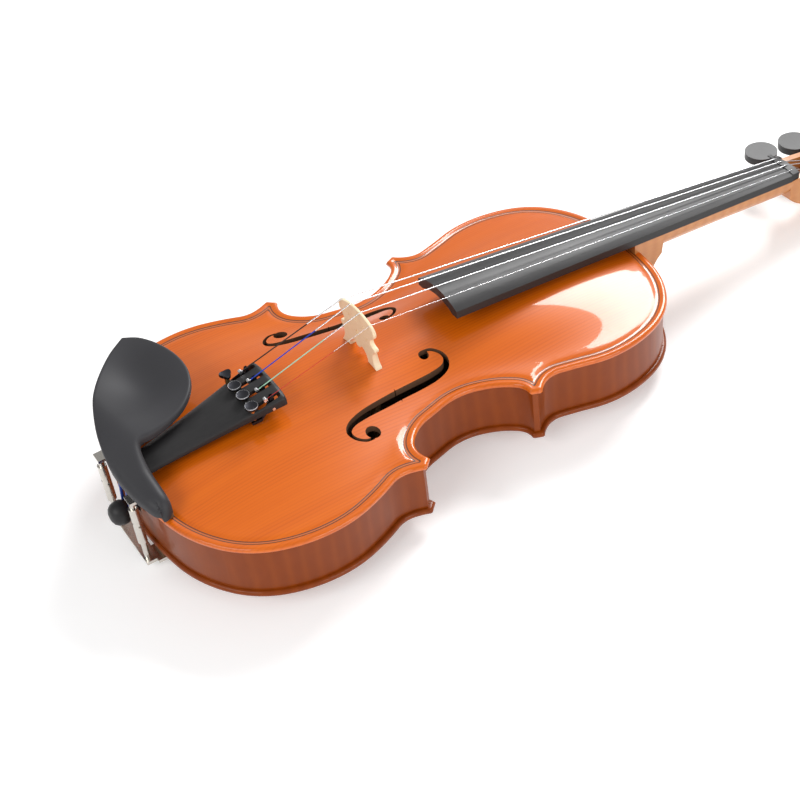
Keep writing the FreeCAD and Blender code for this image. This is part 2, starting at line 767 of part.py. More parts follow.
def hook_seat(string):
    """Where a string leaves its tuner's fork."""
    axle = axle_centre()
    return Vector(tuner_x(string), axle.y + 0.5, axle.z + HOOK_RISE)


def winding_touch(string):
    """Where a string meets its turns, just clear of them."""
    centre = peg_centre(string)
    seat = nut_seat(string)
    radius = winding_radius(string) + string_radius(string) + size("contact_gap")
    dy = seat.y - centre.y
    dz = seat.z - centre.z
    reach = math.hypot(dy, dz)
    angle = math.atan2(dz, dy) - math.acos(radius / reach)
    return Vector(winding_x(string), centre.y + radius * math.cos(angle), centre.z + radius * math.sin(angle))


def rounded_path(points, radii):
    """Straight runs joined by tangent arcs."""
    edges = []
    start = points[0]
    for k in range(1, len(points) - 1):
        back = points[k - 1] - points[k]
        ahead = points[k + 1] - points[k]
        back.normalize()
        ahead.normalize()
        half_turn = (math.pi - back.getAngle(ahead)) / 2
        reach = radii[k - 1] * math.tan(half_turn)
        arc_in = points[k] + back * reach
        arc_out = points[k] + ahead * reach
        bisector = back + ahead
        bisector.normalize()
        middle = points[k] + bisector * (radii[k - 1] / math.cos(half_turn) - radii[k - 1])
        edges.append(Part.LineSegment(start, arc_in).toShape())
        edges.append(Part.Arc(arc_in, middle, arc_out).toShape())
        start = arc_out
    edges.append(Part.LineSegment(start, points[-1]).toShape())
    return Part.Wire(edges)


def tube(path, radius):
    """A round cord along a path of tangent runs."""
    first = path.Edges[0]
    start = first.valueAt(first.FirstParameter)
    along = first.tangentAt(first.FirstParameter)
    ring = Part.Wire(Part.makeCircle(radius, start, along))
    return path.makePipeShell([ring], True, True)


BALL_RADIUS = 1.2           # brass ball in the loop of each string


def string_points(string):
    """The string's loop, bridge seat, nut seat and the place where it meets its turns."""
    loop = hook_seat(string) - Vector(0, 2.6, 0.25)
    return [loop, bridge_seat(string), nut_seat(string), winding_touch(string)]


def string_tube(string):
    """One string with its ball end, from the tuner's fork to its peg."""
    points = string_points(string)
    wire = tube(rounded_path(points, [4.0, 4.0]), string_radius(string))
    ball_at = points[0] - Vector(0, 0.6, 0)
    ball = Part.makeCylinder(BALL_RADIUS, 2.2, ball_at - Vector(1.1, 0, 0), Vector(1, 0, 0))
    return only_solid(wire.fuse(ball))


def winding(string):
    """The turns of one string on its peg."""
    centre = peg_centre(string)
    turns = 5
    length = turns * 2 * string_radius(string)
    sleeve = Part.makeCylinder(winding_radius(string), length,
                               Vector(winding_x(string) - length / 2, centre.y, centre.z), Vector(1, 0, 0))
    return sleeve.cut(peg_cone(string, 0))


def tailgut():
    """Two strands over the saddle and one loop under the end button."""
    half = size("gut_half_spacing")
    level = size("top_edge") + size("saddle_rise")
    loop = size("button_neck_radius") + size("gut_radius") + 0.2
    plane = -(size("overhang") + 1.4)
    low = size("mid_rib") - loop
    points = [Vector(-half, 22, level + 4.6), Vector(-half, -1.6, level + 0.9), Vector(-loop, plane, low),
              Vector(loop, plane, low), Vector(half, -1.6, level + 0.9), Vector(half, 22, level + 4.6)]
    return tube(rounded_path(points, [4.0, loop - 0.01, loop - 0.01, 4.0]), size("gut_radius"))


# ---------------------------------------------------------------- primitives tied to the sheet

def rod(name, at, along, radius, length):
    """A cylinder whose radius and length are read from the sheet."""
    piece = DOC.addObject("Part::Cylinder", name)
    piece.Placement = Placement(at, Rotation(Vector(0, 0, 1), along))
    return bind(piece, Radius=radius, Height=length)


def taper(name, at, along, start_radius, end_radius, length):
    piece = DOC.addObject("Part::Cone", name)
    piece.Placement = Placement(at, Rotation(Vector(0, 0, 1), along))
    return bind(piece, Radius1=start_radius, Radius2=end_radius, Height=length)


def fused(name, pieces):
    result = DOC.addObject("Part::MultiFuse", name)
    result.Shapes = pieces
    return result


def padded_profile(name, role, edges, length, at):
    """A body with one sketched profile padded to both sides of its plane."""
    body = DOC.addObject("PartDesign::Body", name)
    sketch = body.newObject("Sketcher::SketchObject", name + "_profile")
    plane = [feature for feature in body.Origin.OriginFeatures if feature.Role == role][0]
    sketch.AttachmentSupport = [(plane, "")]
    sketch.MapMode = "FlatFace"
    for edge in edges:
        sketch.addGeometry(edge, False)
    pad = body.newObject("PartDesign::Pad", name + "_pad")
    pad.Profile = sketch
    pad.Midplane = True
    bind(pad, Length=length)
    body.Placement = Placement(at, Rotation())
    return body


def polygon(points):
    """Straight edges for a sketch, joined end to end."""
    places = [Vector(u, v, 0) for u, v in points]
    return [Part.LineSegment(start, end) for start, end in zip(places, places[1:] + places[:1])]


# ---------------------------------------------------------------- sound box

ALONG_X = Vector(1, 0, 0)
ALONG_Y = Vector(0, 1, 0)
ALONG_Z = Vector(0, 0, 1)


def saddle():
    """Ebony sill that carries the tailgut over the top's edge."""
    half = size("saddle_half_width")
    rise = size("saddle_rise")
    body = padded_profile("saddle_body", "XZ_Plane",
                          polygon([(-half, 0), (half, 0), (half, size("edge_thickness") + 0.8),
                                   (half * 0.55, size("edge_thickness") + rise),
                                   (-half * 0.55, size("edge_thickness") + rise),
                                   (-half, size("edge_thickness") + 0.8)]),
                          "saddle_depth", Vector(0, size("saddle_depth") / 2, size("top_glue")))
    DOC.recompute()
    ridge = [(k, edge) for k, edge in enumerate(body.Shape.Edges, start=1)
             if edge.BoundBox.ZLength < 0.01 and edge.BoundBox.YLength < 0.01
             and edge.BoundBox.ZMin > size("top_edge") + rise - 0.1]
    rounding = DOC.addObject("Part::Fillet", "saddle_round")
    rounding.Base = body
    rounding.Edges = [(k, 3.0, 3.0) for k, _ in ridge]
    return finish(rounding, "saddle")


def end_button():
    """Turned ebony button in the tail block."""
    reach = size("button_end")
    at = Vector(0, -reach, size("mid_rib"))
    head = rod("button_head", at + Vector(0, 2.0, 0), ALONG_Y, "button_radius", "button_end - overhang - 5.5")
    cap = taper("button_cap", at, ALONG_Y, "button_radius - 2.6", "button_radius", "2.0")
    neck = rod("button_neck", at + Vector(0, 5, 0), ALONG_Y, "button_neck_radius",
               "button_end + overhang - 5")
    collar = rod("button_collar", Vector(0, 1.2, size("mid_rib")), ALONG_Y, "button_radius - 1.4",
                 "overhang - 1.2")
    shank = rod("button_shank", Vector(0, 0, size("mid_rib")), ALONG_Y, "button_shank_radius",
                "overhang + 14")
    return finish(fused("button", [head, cap, neck, collar, shank]), "end_button")


def peg(string):
    """Tapered peg with its collar, stem and flat thumb head."""
    side = PEG_SIDES[string]
    centre = peg_centre(string)
    out = cheek_half_width(centre.y) + 12.0
    start = Vector(side * out, centre.y, centre.z)
    outward = Vector(side, 0, 0)
    shank = helper(string + "_peg_shank", peg_cone(string, 0))
    collar = rod(string + "_peg_collar", start, outward, "peg_radius + 1.6", "2.2")
    stem = rod(string + "_peg_stem", start + outward * 2.2, outward, "peg_radius - 0.6", "7.0")
    head = rod(string + "_peg_disc", start + outward * 17.0 + Vector(0, 0, -2.6), ALONG_Z, "11.2", "5.2")
    pin = rod(string + "_peg_pin", start + outward * 28.0, outward, "1.4", "1.6")
    return finish(fused(string + "_peg_solid", [shank, collar, stem, head, pin]), string + "_peg")


def corner_frame(tip, degrees):
    """Oriented rectangle over one corner, in plan."""
    out = heading(degrees)
    side = heading(degrees + 90)
    depth = size("corner_block_depth")
    return [(p.x, p.y) for p in (tip - out * depth - side * 22, tip + out * 12 - side * 22,
                                 tip + out * 12 + side * 22, tip - out * depth + side * 22)]


def mirrored_points(points):
    return [(-x, y) for x, y in reversed(points)]


def rib_regions():
    """The plan of each treble rib, split through the corners' tips."""
    low_out = LOWER_TIP + heading(LOWER_TIP_HEADING) * 20
    low_in = LOWER_TIP - heading(LOWER_TIP_HEADING) * 60
    up_out = UPPER_TIP + heading(UPPER_TIP_HEADING) * 20
    up_in = UPPER_TIP - heading(UPPER_TIP_HEADING) * 60
    far = size("lower_width")
    return {
        "lower": [(0, -50), (far, -50), (far, low_out.y), (low_out.x, low_out.y), (low_in.x, low_in.y),
                  (0, low_in.y)],
        "waist": [(low_in.x, low_in.y), (low_out.x, low_out.y), (up_out.x, up_out.y), (up_in.x, up_in.y)],
        "upper": [(up_in.x, up_in.y), (up_out.x, up_out.y), (far, up_out.y), (far, L + 50), (0, L + 50),
                  (0, up_in.y)],
    }


def blocks():
    """Six spruce blocks that hold the ribs' ends."""
    inside = outline_prism(size("overhang") + size("rib_thickness"), size("back_glue"), size("top_glue"))
    half = size("end_block_width") / 2
    depth = size("overhang") + size("rib_thickness") + size("end_block_depth")
    plans = {
        "tail_block": [(-half, -1), (half, -1), (half, depth), (-half, depth)],
        "neck_block": [(-half, L - depth), (half, L - depth), (half, L + 1), (-half, L + 1)],
    }
    for name, tip, degrees in (("lower", LOWER_TIP, LOWER_TIP_HEADING), ("upper", UPPER_TIP,
                                                                         UPPER_TIP_HEADING)):
        plans[name + "_corner_block_treble"] = corner_frame(tip, degrees)
        plans[name + "_corner_block_bass"] = mirrored_points(corner_frame(tip, degrees))
    return {name: prism(plan, 0, size("top_edge")).common(inside) for name, plan in plans.items()}


def sound_box(neck, button_shape, saddle_shape):
    """Plates, ribs, blocks, linings, bar and post, fitted to the neck, button and saddle."""
    top, back = plate_blanks()
    block_solids = blocks()
    band_in = size("purfling_inset") + size("purfling_width")
    band = ring_prism(size("purfling_inset"), band_in, size("top_edge") - size("purfling_depth"),
                      size("top_apex"))
    top_strip = band.common(top).cut([neck, saddle_shape])
    band = ring_prism(size("purfling_inset"), band_in, 0, size("back_arch") + size("purfling_depth"))
    back_strip = band.common(back).cut(neck)
    notched_top = top.cut([neck, saddle_shape]).cut(top_strip)
    notched_back = back.cut(back_strip)
    pieces = {
        "top_plate": notched_top,
        "back_plate": notched_back,
        "top_purfling": top_strip,
        "back_purfling": back_strip,
    }
    ribs = ring_prism(size("overhang"), size("overhang") + size("rib_thickness"), size("back_glue"),
                      size("top_glue"))
    ribs = ribs.cut([neck, button_shape])
    for region, plan in rib_regions().items():
        pieces[region + "_rib_treble"] = ribs.common(prism(plan, 0, size("top_edge")))
        pieces[region + "_rib_bass"] = ribs.common(prism(mirrored_points(plan), 0, size("top_edge")))
    outer = size("overhang") + size("rib_thickness")
    solid_blocks = list(block_solids.values())
    for name, low in (("top_linings", size("top_glue") - size("lining_height")), ("back_linings",
                                                                                  size("back_glue"))):
        strip = ring_prism(outer, outer + size("lining_thickness"), low, low + size("lining_height"))
        pieces[name] = strip.cut(solid_blocks)
    for name, solid in block_solids.items():
        pieces[name] = solid.cut([neck, button_shape])
    pieces["bass_bar"] = bass_bar()
    post = Part.makeCylinder(size("post_radius"), size("top_apex"), Vector(18.5, size("bridge_y") - 5.5, 0))
    inside_post = [part for part in post.cut([top, back]).Solids if part.CenterOfMass.z > size("back_glue")
                   and part.CenterOfMass.z < size("top_glue")]
    pieces["sound_post"] = inside_post[0]
    for name, shape in pieces.items():
        shaped(name, only_solid(shape))
    return top, back


def bass_bar():
    """Spruce bar under the bass foot of the bridge, fitted to the hollow of the top."""
    middle = size("bridge_y") + 19
    start = middle - size("bar_length") / 2
    end = middle + size("bar_length") / 2
    crown = size("top_apex") - size("top_thickness")
    low = crown - size("bar_depth")
    ceiling = size("top_apex")
    belly = Part.Arc(Vector(0, start, low + 4.0), Vector(0, middle, low), Vector(0, end, low + 4.0)).toShape()
    sides = Part.makePolygon([Vector(0, end, low + 4.0), Vector(0, end, ceiling), Vector(0, start, ceiling),
                              Vector(0, start, low + 4.0)])
    profile = Part.Face(Part.Wire([belly] + sides.Edges))
    profile.translate(Vector(-16.8 - size("bar_thickness") / 2, 0, 0))
    return profile.extrude(Vector(size("bar_thickness"), 0, 0)).common(top_cavity())


# ---------------------------------------------------------------- bridge and nut

def bridge(top, string_solids):
    """Maple bridge: padded front, thinned to its crown, feet fitted to the arch, notched for the strings."""
    half = size("bridge_width") / 2
    tall = size("bridge_height")
    radius = size("bridge_radius")
    shoulder = half - 1.4
    side_top = tall - (radius - math.sqrt(radius ** 2 - shoulder ** 2))
    right = [(8.6, -3), (half, -3), (half, 1.8), (half - 3.2, 3.6), (half - 5.4, 6.2), (half - 4.6, 9.4),
             (half - 2.2, 12.2), (half - 3.4, 14.2), (half - 7.6, 14.9), (half - 7.6, 16.6), (half - 2.2,
                                                                                              17.4),
             (half - 0.6, 20.4), (shoulder, side_top)]
    left = [(-x, z) for x, z in reversed(right)]
    inner = [(-8.6, -3), (-8.9, 2.6), (-11.6, 4.4), (-8.2, 8.2), (-3.0, 11.0), (3.0, 11.0), (8.2, 8.2),
             (11.6, 4.4),
             (8.9, 2.6)]
    points = right + left[:-1] + inner
    edges = polygon(points)
    crown_start = len(right) - 1
    edges[crown_start] = Part.Arc(Vector(shoulder, side_top, 0), Vector(0, tall, 0), Vector(-shoulder,
                                                                                            side_top, 0))
    body = padded_profile("bridge_body", "XZ_Plane", edges, "bridge_foot_thickness",
                          Vector(0, size("bridge_y"), size("top_apex")))
    DOC.recompute()
    thick = size("bridge_foot_thickness") / 2
    thin = size("bridge_crown_thickness") / 2
    side = [Vector(-30, -thick, -4), Vector(-30, thick, -4), Vector(-30, thick, 3), Vector(-30, thin,
                                                                                           tall + 1),
            Vector(-30, -thin, tall + 1), Vector(-30, -thick, 3)]
    wedge = Part.Face(Part.makePolygon(side + side[:1])).extrude(Vector(60, 0, 0))
    wedge.translate(Vector(0, size("bridge_y"), size("top_apex")))
    thinned = common("bridge_thinned", body, helper("bridge_wedge", wedge))
    seat = Vector(0, size("bridge_y") - 5, size("top_apex"))
    eyes = [Part.makeCylinder(2.7, 10, seat + Vector(side_x * (half - 8.6), 0, 15.7),
                              ALONG_Y) for side_x in (-1, 1)]
    eyes += [Part.makeCylinder(1.9, 10, seat + Vector(side_x * 1.6, 0, 21.5), ALONG_Y) for side_x in (-1, 1)]
    eyes.append(Part.makeCylinder(1.3, 10, seat + Vector(0, 0, 18.6), ALONG_Y))
    fitted = cut("bridge_fitted", thinned, helper("bridge_cuts",
                                                  Part.makeCompound(eyes + [top] + string_solids)))
    return finish(fitted, "bridge")


def nut(string_solids):
    """Ebony nut, a little above the playing face, grooved for the strings."""
    y = size("nut_y")
    half = board_half_width(y) - 0.2
    radius = size("board_radius")
    edge_level = size("board_edge") + 0.2
    lift = size("nut_string_gap") + 0.5
    crown = edge_level + radius - math.sqrt(radius ** 2 - half ** 2) + lift
    base = neck_level(y + size("nut_length"))
    edges = polygon([(-half, -1.5), (half, -1.5), (half, edge_level + lift), (-half, edge_level + lift)])
    edges[2] = Part.Arc(Vector(half, edge_level + lift, 0), Vector(0, crown, 0), Vector(-half,
                                                                                        edge_level + lift, 0))
    body = padded_profile("nut_body", "XZ_Plane", edges, "nut_length", Vector(0, y + size("nut_length") / 2,
                                                                              base))
    bed = Part.Face(Part.makePolygon([Vector(-30, y - 1, neck_level(y - 1)), Vector(-30, y + 20,
                                                                                    neck_level(y + 20)),
                                      Vector(-30, y + 20, 20), Vector(-30, y - 1, 20),
                                      Vector(-30, y - 1, neck_level(y - 1))])).extrude(Vector(60, 0, 0))
    tools = helper("nut_cuts", Part.makeCompound([bed] + string_solids))
    return finish(cut("nut_grooved", body, tools), "nut")


# ---------------------------------------------------------------- tailpiece and fine tuners

TUNER_TURNS_DOWN = {"g": 7.2, "d": 1.2, "a": 1.2, "e": 1.2}   # turns left before a head meets the tailpiece
HEAD_GAP_LEAST = 0.4        # head above the tailpiece when it is screwed right down
HEAD_TRAVEL_TURNS = 8.2     # whole travel of a tuner
TIP_GAP = 0.3               # screw tip to lever, closed by the string's pull in use
ARM_THICKNESS = 1.8


def head_lift(string):
    """Underside of a tuner's head above the tailpiece."""
    return HEAD_GAP_LEAST + TUNER_TURNS_DOWN[string] * size("thread_pitch")


def tuner_face(string):
    """Place on the tailpiece's upper face under a tuner's head."""
    y = size("tailpiece_end") - HEAD_BACK
    radius = size("tuner_head_radius")
    highest = tailpiece_level(y + radius) - tailpiece_drop(max(abs(tuner_x(string)) - radius, 0))
    return Vector(tuner_x(string), y, highest)


def full_down_level(string):
    """Where the lever's arm meets the screw with the tuner screwed right down."""
    return tuner_face(string).z - size("tailpiece_wall") - 6.6


def arm_level(string):
    return full_down_level(string) + TUNER_TURNS_DOWN[string] * size("thread_pitch")


def tailpiece():
    """Moulded shell with four tuner slots, a seat for the axle and two gut holes."""
    start = size("tailpiece_gap")
    end = size("tailpiece_end")
    wide = size("tailpiece_half_wide")
    narrow = size("tailpiece_half_narrow")
    side = Part.BSplineCurve()
    side.interpolate([Vector(narrow, start, 0), Vector(narrow + 0.6, start + 30, 0), Vector(wide - 4.4,
                                                                                            end - 38, 0),
                      Vector(wide - 0.6, end - 18, 0), Vector(wide, end, 0)])
    other = Part.BSplineCurve()
    span = side.LastParameter - side.FirstParameter
    along_side = [side.value(side.FirstParameter + span * k / 8) for k in range(9)]
    other.interpolate([Vector(-place.x, place.y, 0) for place in along_side])
    ends = [Part.LineSegment(Vector(-wide, end, 0), Vector(wide, end, 0)).toShape(),
            Part.LineSegment(Vector(-narrow, start, 0), Vector(narrow, start, 0)).toShape()]
    plan = Part.Face(Part.Wire(Part.__sortEdges__([side.toShape(), other.toShape()] + ends)))
    plan.translate(Vector(0, 0, size("top_edge")))
    slope = math.atan2(tailpiece_level(end) - tailpiece_level(start), end - start)
    along = Vector(0, math.cos(slope), math.sin(slope))
    up = Vector(0, -math.sin(slope), math.cos(slope))
    origin = Vector(0, start, tailpiece_level(start)) - along * 20
    radius = size("tailpiece_radius")
    outer = Part.makeCylinder(radius, 200, origin - up * radius, along)
    inner = Part.makeCylinder(radius - size("tailpiece_wall"), 200, origin - up * radius, along)
    depth = size("tailpiece_depth")
    under = Part.makeBox(100, 220, 60, Vector(-50, 0, -60 - depth))
    under.rotate(Vector(0, 0, 0), ALONG_X, math.degrees(slope))
    under.translate(origin)
    shell = plan.extrude(Vector(0, 0, 60)).common(outer).cut(under)
    treble = [(narrow - 2.2, start + 12), (narrow - 2.2, start + 38), (narrow + 3.8, end - 42),
              (wide - 4.6, end - 30.5), (wide - 2.0, end - 20), (wide - 2.0, end - 2.4)]
    hollow = prism(treble + mirrored_points(treble), size("top_edge"), 200)
    shell = shell.cut(hollow.common(inner))
    axle = axle_centre()
    tools = [Part.makeCylinder(size("axle_radius"), 2 * wide + 4, axle - Vector(wide + 2, 0, 0), ALONG_X)]
    for string in STRINGS:
        x = tuner_x(string)
        half = size("tuner_slot") / 2
        tools.append(box((x - half, axle.y - 6.5, axle.z - 12), (x + half, end - 1.8, axle.z + 12)))
        face = tuner_face(string)
        tools.append(Part.makeCylinder(size("shank_radius") + size("running_clearance"), 20,
                                       face - Vector(0, 0, 10)))
        notch_low = tailpiece_level(end) - 2.2 - tailpiece_drop(x)
        tools.append(box((x - 0.9, end - 4, notch_low), (x + 0.9, end + 1, axle.z + 12)))
    for string_side in (-1, 1):
        path_low = Vector(string_side * size("gut_half_spacing"), -1.6,
                          size("top_edge") + size("saddle_rise") + 0.9)
        path_high = Vector(string_side * size("gut_half_spacing"), 22,
                           size("top_edge") + size("saddle_rise") + 4.6)
        run = path_high - path_low
        tools.append(Part.makeCylinder(size("gut_radius"), 40, path_low, run))
    return shell.cut(tools)


def tuner_lever(string):
    """Rocker on the axle: a fork for the string above, an arm under the screw behind."""
    axle = axle_centre()
    x = tuner_x(string)
    screw_y = tuner_face(string).y
    arm_top = arm_level(string) - TIP_GAP - axle.z
    reach = screw_y - axle.y
    horn = HOOK_RISE + 1.3
    profile = polygon([(reach - 2.0, arm_top), (reach - 2.0, arm_top - ARM_THICKNESS),
                       (reach + 4.0, arm_top - ARM_THICKNESS), (-3.0, -2.4), (1.2, -2.6), (2.4, 0.0), (2.2,
                                                                                                       horn),
                       (0.6, horn), (-1.2, 2.0), (-3.0, 0.0), (reach + 4.0, arm_top)])
    body = padded_profile(string + "_lever_body", "YZ_Plane", profile, "lever_width", Vector(x, axle.y,
                                                                                             axle.z))
    DOC.recompute()
    hole = rod(string + "_lever_hole", axle + Vector(x - 5, 0, 0), ALONG_X,
               "axle_radius + running_clearance", "10")
    slit = helper(string + "_lever_slit", box((x - 0.75, axle.y - 4, axle.z + HOOK_RISE - 1.3),
                                              (x + 0.75, axle.y + 5, axle.z + HOOK_RISE + 5)))
    cuts = fused(string + "_lever_cuts", [hole, slit])
    return finish(cut(string + "_lever", body, cuts), string + "_tuner_lever")


def tuner_shank(string):
    """Brass threaded shank with a cone point."""
    face = tuner_face(string)
    tip = Vector(face.x, face.y, arm_level(string))
    top = face.z + head_lift(string)
    length = top - tip.z
    cone = taper(string + "_shank_point", tip, ALONG_Z, "0.5", "shank_radius", "1.0")
    shank = rod(string + "_shank_rod", tip + Vector(0, 0, 1.0), ALONG_Z, "shank_radius",
                "%.4f" % (length - 1.0))
    return finish(fused(string + "_shank", [cone, shank]), string + "_tuner_shank")


def tuner_head(string):
    """Turning head: a knurled disc, or a three-lobed key on the G tuner."""
    face = tuner_face(string)
    base = face + Vector(0, 0, head_lift(string))
    disc = rod(string + "_head_disc", base, ALONG_Z, "tuner_head_radius", "2.0")
    flutes = []
    count = 3 if string == "g" else 16
    bite = 2.6 if string == "g" else 0.5
    for k in range(count):
        turn = 2 * math.pi * k / count
        reach = size("tuner_head_radius") + (1.4 if string == "g" else 0.2)
        flutes.append(Part.makeCylinder(bite, 6, base + Vector(math.cos(turn) * reach,
                                                               math.sin(turn) * reach, -1)))
    grips = helper(string + "_head_flutes", Part.makeCompound(flutes))
    return finish(cut(string + "_head", disc, grips), string + "_tuner_head")


# ---------------------------------------------------------------- chinrest and clamp

REST_PLAN = [(-84.4, 42.4), (-78, 50.8), (-66, 57.6), (-50, 61.8), (-34, 61.6), (-19, 56.2), (-8, 46.5),
             (-2, 34),
             (0.8, 22.2), (1.6, 13.8), (8, 11.2), (20, 10.6), (33, 11), (41.5, 10.2), (45, 5.5), (42.5, 0.8),
             (34, -2.8), (22, -5.5), (10, -7), (-2, -7), (-18, -4.2), (-36, 1.8), (-50, 8.3), (-64, 17.9),
             (-76, 29.6)]
FOOT_RISE = 13.5            # chinrest over its treble foot, above the top's edge
HOOK_IN_REST = 12.5         # top of the hooks' brackets above the top's edge
BRACKET_LIFT = 2.0          # underside of the brackets above the top's edge
BRACKET_HALF_WIDTH = 4.0
BRACKET_THICKNESS = 2.0
TAILPIECE_ROOM = 1.6        # chinrest's arm above the tailpiece


def rest_outline():
    """Smooth outline of the chinrest with one pointed end."""
    points = [Vector(x, y, 0) for x, y in REST_PLAN]
    curve = Part.BSplineCurve()
    curve.interpolate(points + points[:1])
    return Part.Wire(curve.toShape())


def rest_level(x, y):
    """Upper face of the chinrest: a dished cup that falls away to the treble foot."""
    edge = size("top_edge")
    rim = edge + size("rest_height")
    foot = edge + FOOT_RISE
    level = blend_between(x, -20.0, 46.0, rim, foot)
    dish = math.exp(-((x + 42) / 26) ** 2 - ((y - 32) / 19) ** 2)
    return level - size("dish_depth") * dish


def rest_blank():
    """The chinrest's whole outline under its dished face."""
    columns = 25
    rows = 15
    grid = []
    for i in range(columns):
        x = -96 + 152 * i / (columns - 1)
        grid.append([Vector(x, y, rest_level(x,
                                             y)) for y in [-20 + 96 * j / (rows - 1) for j in range(rows)]])
    surface = Part.BSplineSurface()
    surface.interpolate(grid)
    under = surface.toShape().extrude(Vector(0, 0, -60))
    plan = Part.Face(rest_outline())
    plan.translate(Vector(0, 0, size("feet_level")))
    return plan.extrude(Vector(0, 0, 60)).common(under)


def feet_plans():
    """Low and high corners, in plan, of the chinrest's two feet."""
    return {"bass": (-46.0, 4.0, -19.5, 19.0), "treble": (19.5, 4.0, 42.0, 17.0)}


def tailpiece_tunnel():
    """Room over the tailpiece, sloped as it is."""
    half = size("tailpiece_half_narrow") + 5.5
    start = -20
    end = 60
    side_view = [Vector(-half, start, 0), Vector(-half, end, 0), Vector(-half, end,
                                                                        tailpiece_level(end) + TAILPIECE_ROOM),
                 Vector(-half, start, tailpiece_level(start) + TAILPIECE_ROOM)]
    return Part.Face(Part.makePolygon(side_view + side_view[:1])).extrude(Vector(2 * half, 0, 0))


def chinrest():
    """Cup and arm in one piece, hollowed underneath so that it stands on two feet."""
    edge = size("top_edge")
    rest = rest_blank()
    feet = feet_plans()
    under = size("rest_height") - size("dish_depth") - 5.5
    gut_room = feet["treble"][0]
    tools = [box((-100, -20, 0), (feet["bass"][0], 90, edge + under)),
             box((-100, feet["bass"][3], 0), (60, 90, edge + under - 6.5)),
             box((-100, feet["bass"][3], 0), (-2, 90, edge + under)),
             box((-gut_room, -20, 0), (gut_room, 90, edge + 9.6)),
             tailpiece_tunnel(),
             box((-100, -20, 0), (60, feet["bass"][1], edge + 9.6))]
    tools += [hook_tongue(side) for side in (-1, 1)]
    return rest.cut(tools)


def cork_pads(top):
    """Two cork pads between the chinrest's feet and the top."""
    pads = []
    for low_x, low_y, high_x, high_y in feet_plans().values():
        pads.append(box((low_x, low_y, size("top_glue") + 1), (high_x, high_y, size("feet_level"))))
    plan = Part.Face(rest_outline())
    plan.translate(Vector(0, 0, size("top_glue")))
    trimmed = Part.makeCompound(pads).common(plan.extrude(Vector(0, 0, 30)))
    above = [solid for solid in trimmed.cut(top).Solids if solid.CenterOfMass.z > size("top_edge")]
    return Part.makeCompound(above)


def barrel_low():
    return size("mid_rib") - size("barrel_length") / 2 + 3.0


def clamp_x(side):
    """A clamp leg's place across the body: side is +1 for treble, -1 for bass."""
    return size("clamp_treble_reach") if side > 0 else -size("clamp_bass_reach")


def clamp_centre(side):
    return Vector(clamp_x(side), -size("clamp_offset"), 0)


def hook_tongue(side):
    """The bent bracket's upright end, let into the chinrest."""
    x = clamp_x(side)
    low = size("top_edge") + BRACKET_LIFT
    return box((x - BRACKET_HALF_WIDTH, -0.5, low), (x + BRACKET_HALF_WIDTH, 1.5,
                                                     size("top_edge") + HOOK_IN_REST))


def clamp_hooks():
    """Two rods, each with a bent bracket that is fast in the chinrest, captive in the barrels below."""
    solids = []
    low = barrel_low() + size("barrel_length") - 9.0
    shelf = size("top_edge") + BRACKET_LIFT
    for side in (-1, 1):
        at = clamp_centre(side)
        stem = Part.makeCylinder(size("clamp_rod_radius"), shelf + 1 - low, at + Vector(0, 0, low))
        plate = box((at.x - BRACKET_HALF_WIDTH, at.y - 2.2, shelf),
                    (at.x + BRACKET_HALF_WIDTH, 1.5, shelf + BRACKET_THICKNESS))
        solids.append(only_solid(stem.fuse([plate, hook_tongue(side)])))
    return Part.makeCompound(solids)


def clamp_barrel(name, side):
    """Turnbuckle barrel with a through bore and two cross holes for the key."""
    at = clamp_centre(side) + Vector(0, 0, barrel_low())
    outside = rod(name + "_outside", at, ALONG_Z, "barrel_radius", "barrel_length")
    bore = rod(name + "_bore", at, ALONG_Z, "clamp_rod_radius + running_clearance", "barrel_length")
    middle = at + Vector(0, 0, size("barrel_length") / 2)
    holes = [rod(name + "_hole_x", middle - Vector(5, 0, 0), ALONG_X, "barrel_hole_radius", "10"),
             rod(name + "_hole_y", middle - Vector(0, 5, -2.4), ALONG_Y, "barrel_hole_radius", "10")]
    return finish(cut(name + "_solid", outside, fused(name + "_cuts", [bore] + holes)), name)


def clamp_foot():
    """Bracket under the back's edge, with two threaded legs up into the barrels."""
    low = size("foot_level")
    thick = size("foot_thickness")
    back = -size("clamp_offset") - 2.6
    bar = box((clamp_x(-1) - 4.5, back, low), (clamp_x(1) + 4.5, 0.5, low + thick))
    tabs = [box((clamp_x(side) - 7, -1, low), (clamp_x(side) + 7, 12, low + thick)) for side in (-1, 1)]
    leg_top = barrel_low() + 14.0
    legs = [Part.makeCylinder(size("clamp_rod_radius"), leg_top - low, clamp_centre(side) + Vector(0, 0, low))
            for side in (-1, 1)]
    return bar.fuse(tabs + legs)


def clamp_foot_cork(back):
    """Cork on the foot's two tabs, under the back."""
    low = size("foot_level") + size("foot_thickness")
    lowered = back.copy()
    lowered.translate(Vector(0, 0, -size("contact_gap")))
    pads = [box((x - 6.5, 2.5, low), (x + 6.5, 11.5, low + 6)) for x in (clamp_x(-1), clamp_x(1))]
    trimmed = Part.makeCompound(pads).cut(lowered)
    return Part.makeCompound([solid for solid in trimmed.Solids if solid.CenterOfMass.z < size("back_arch")])


# ---------------------------------------------------------------- assembly

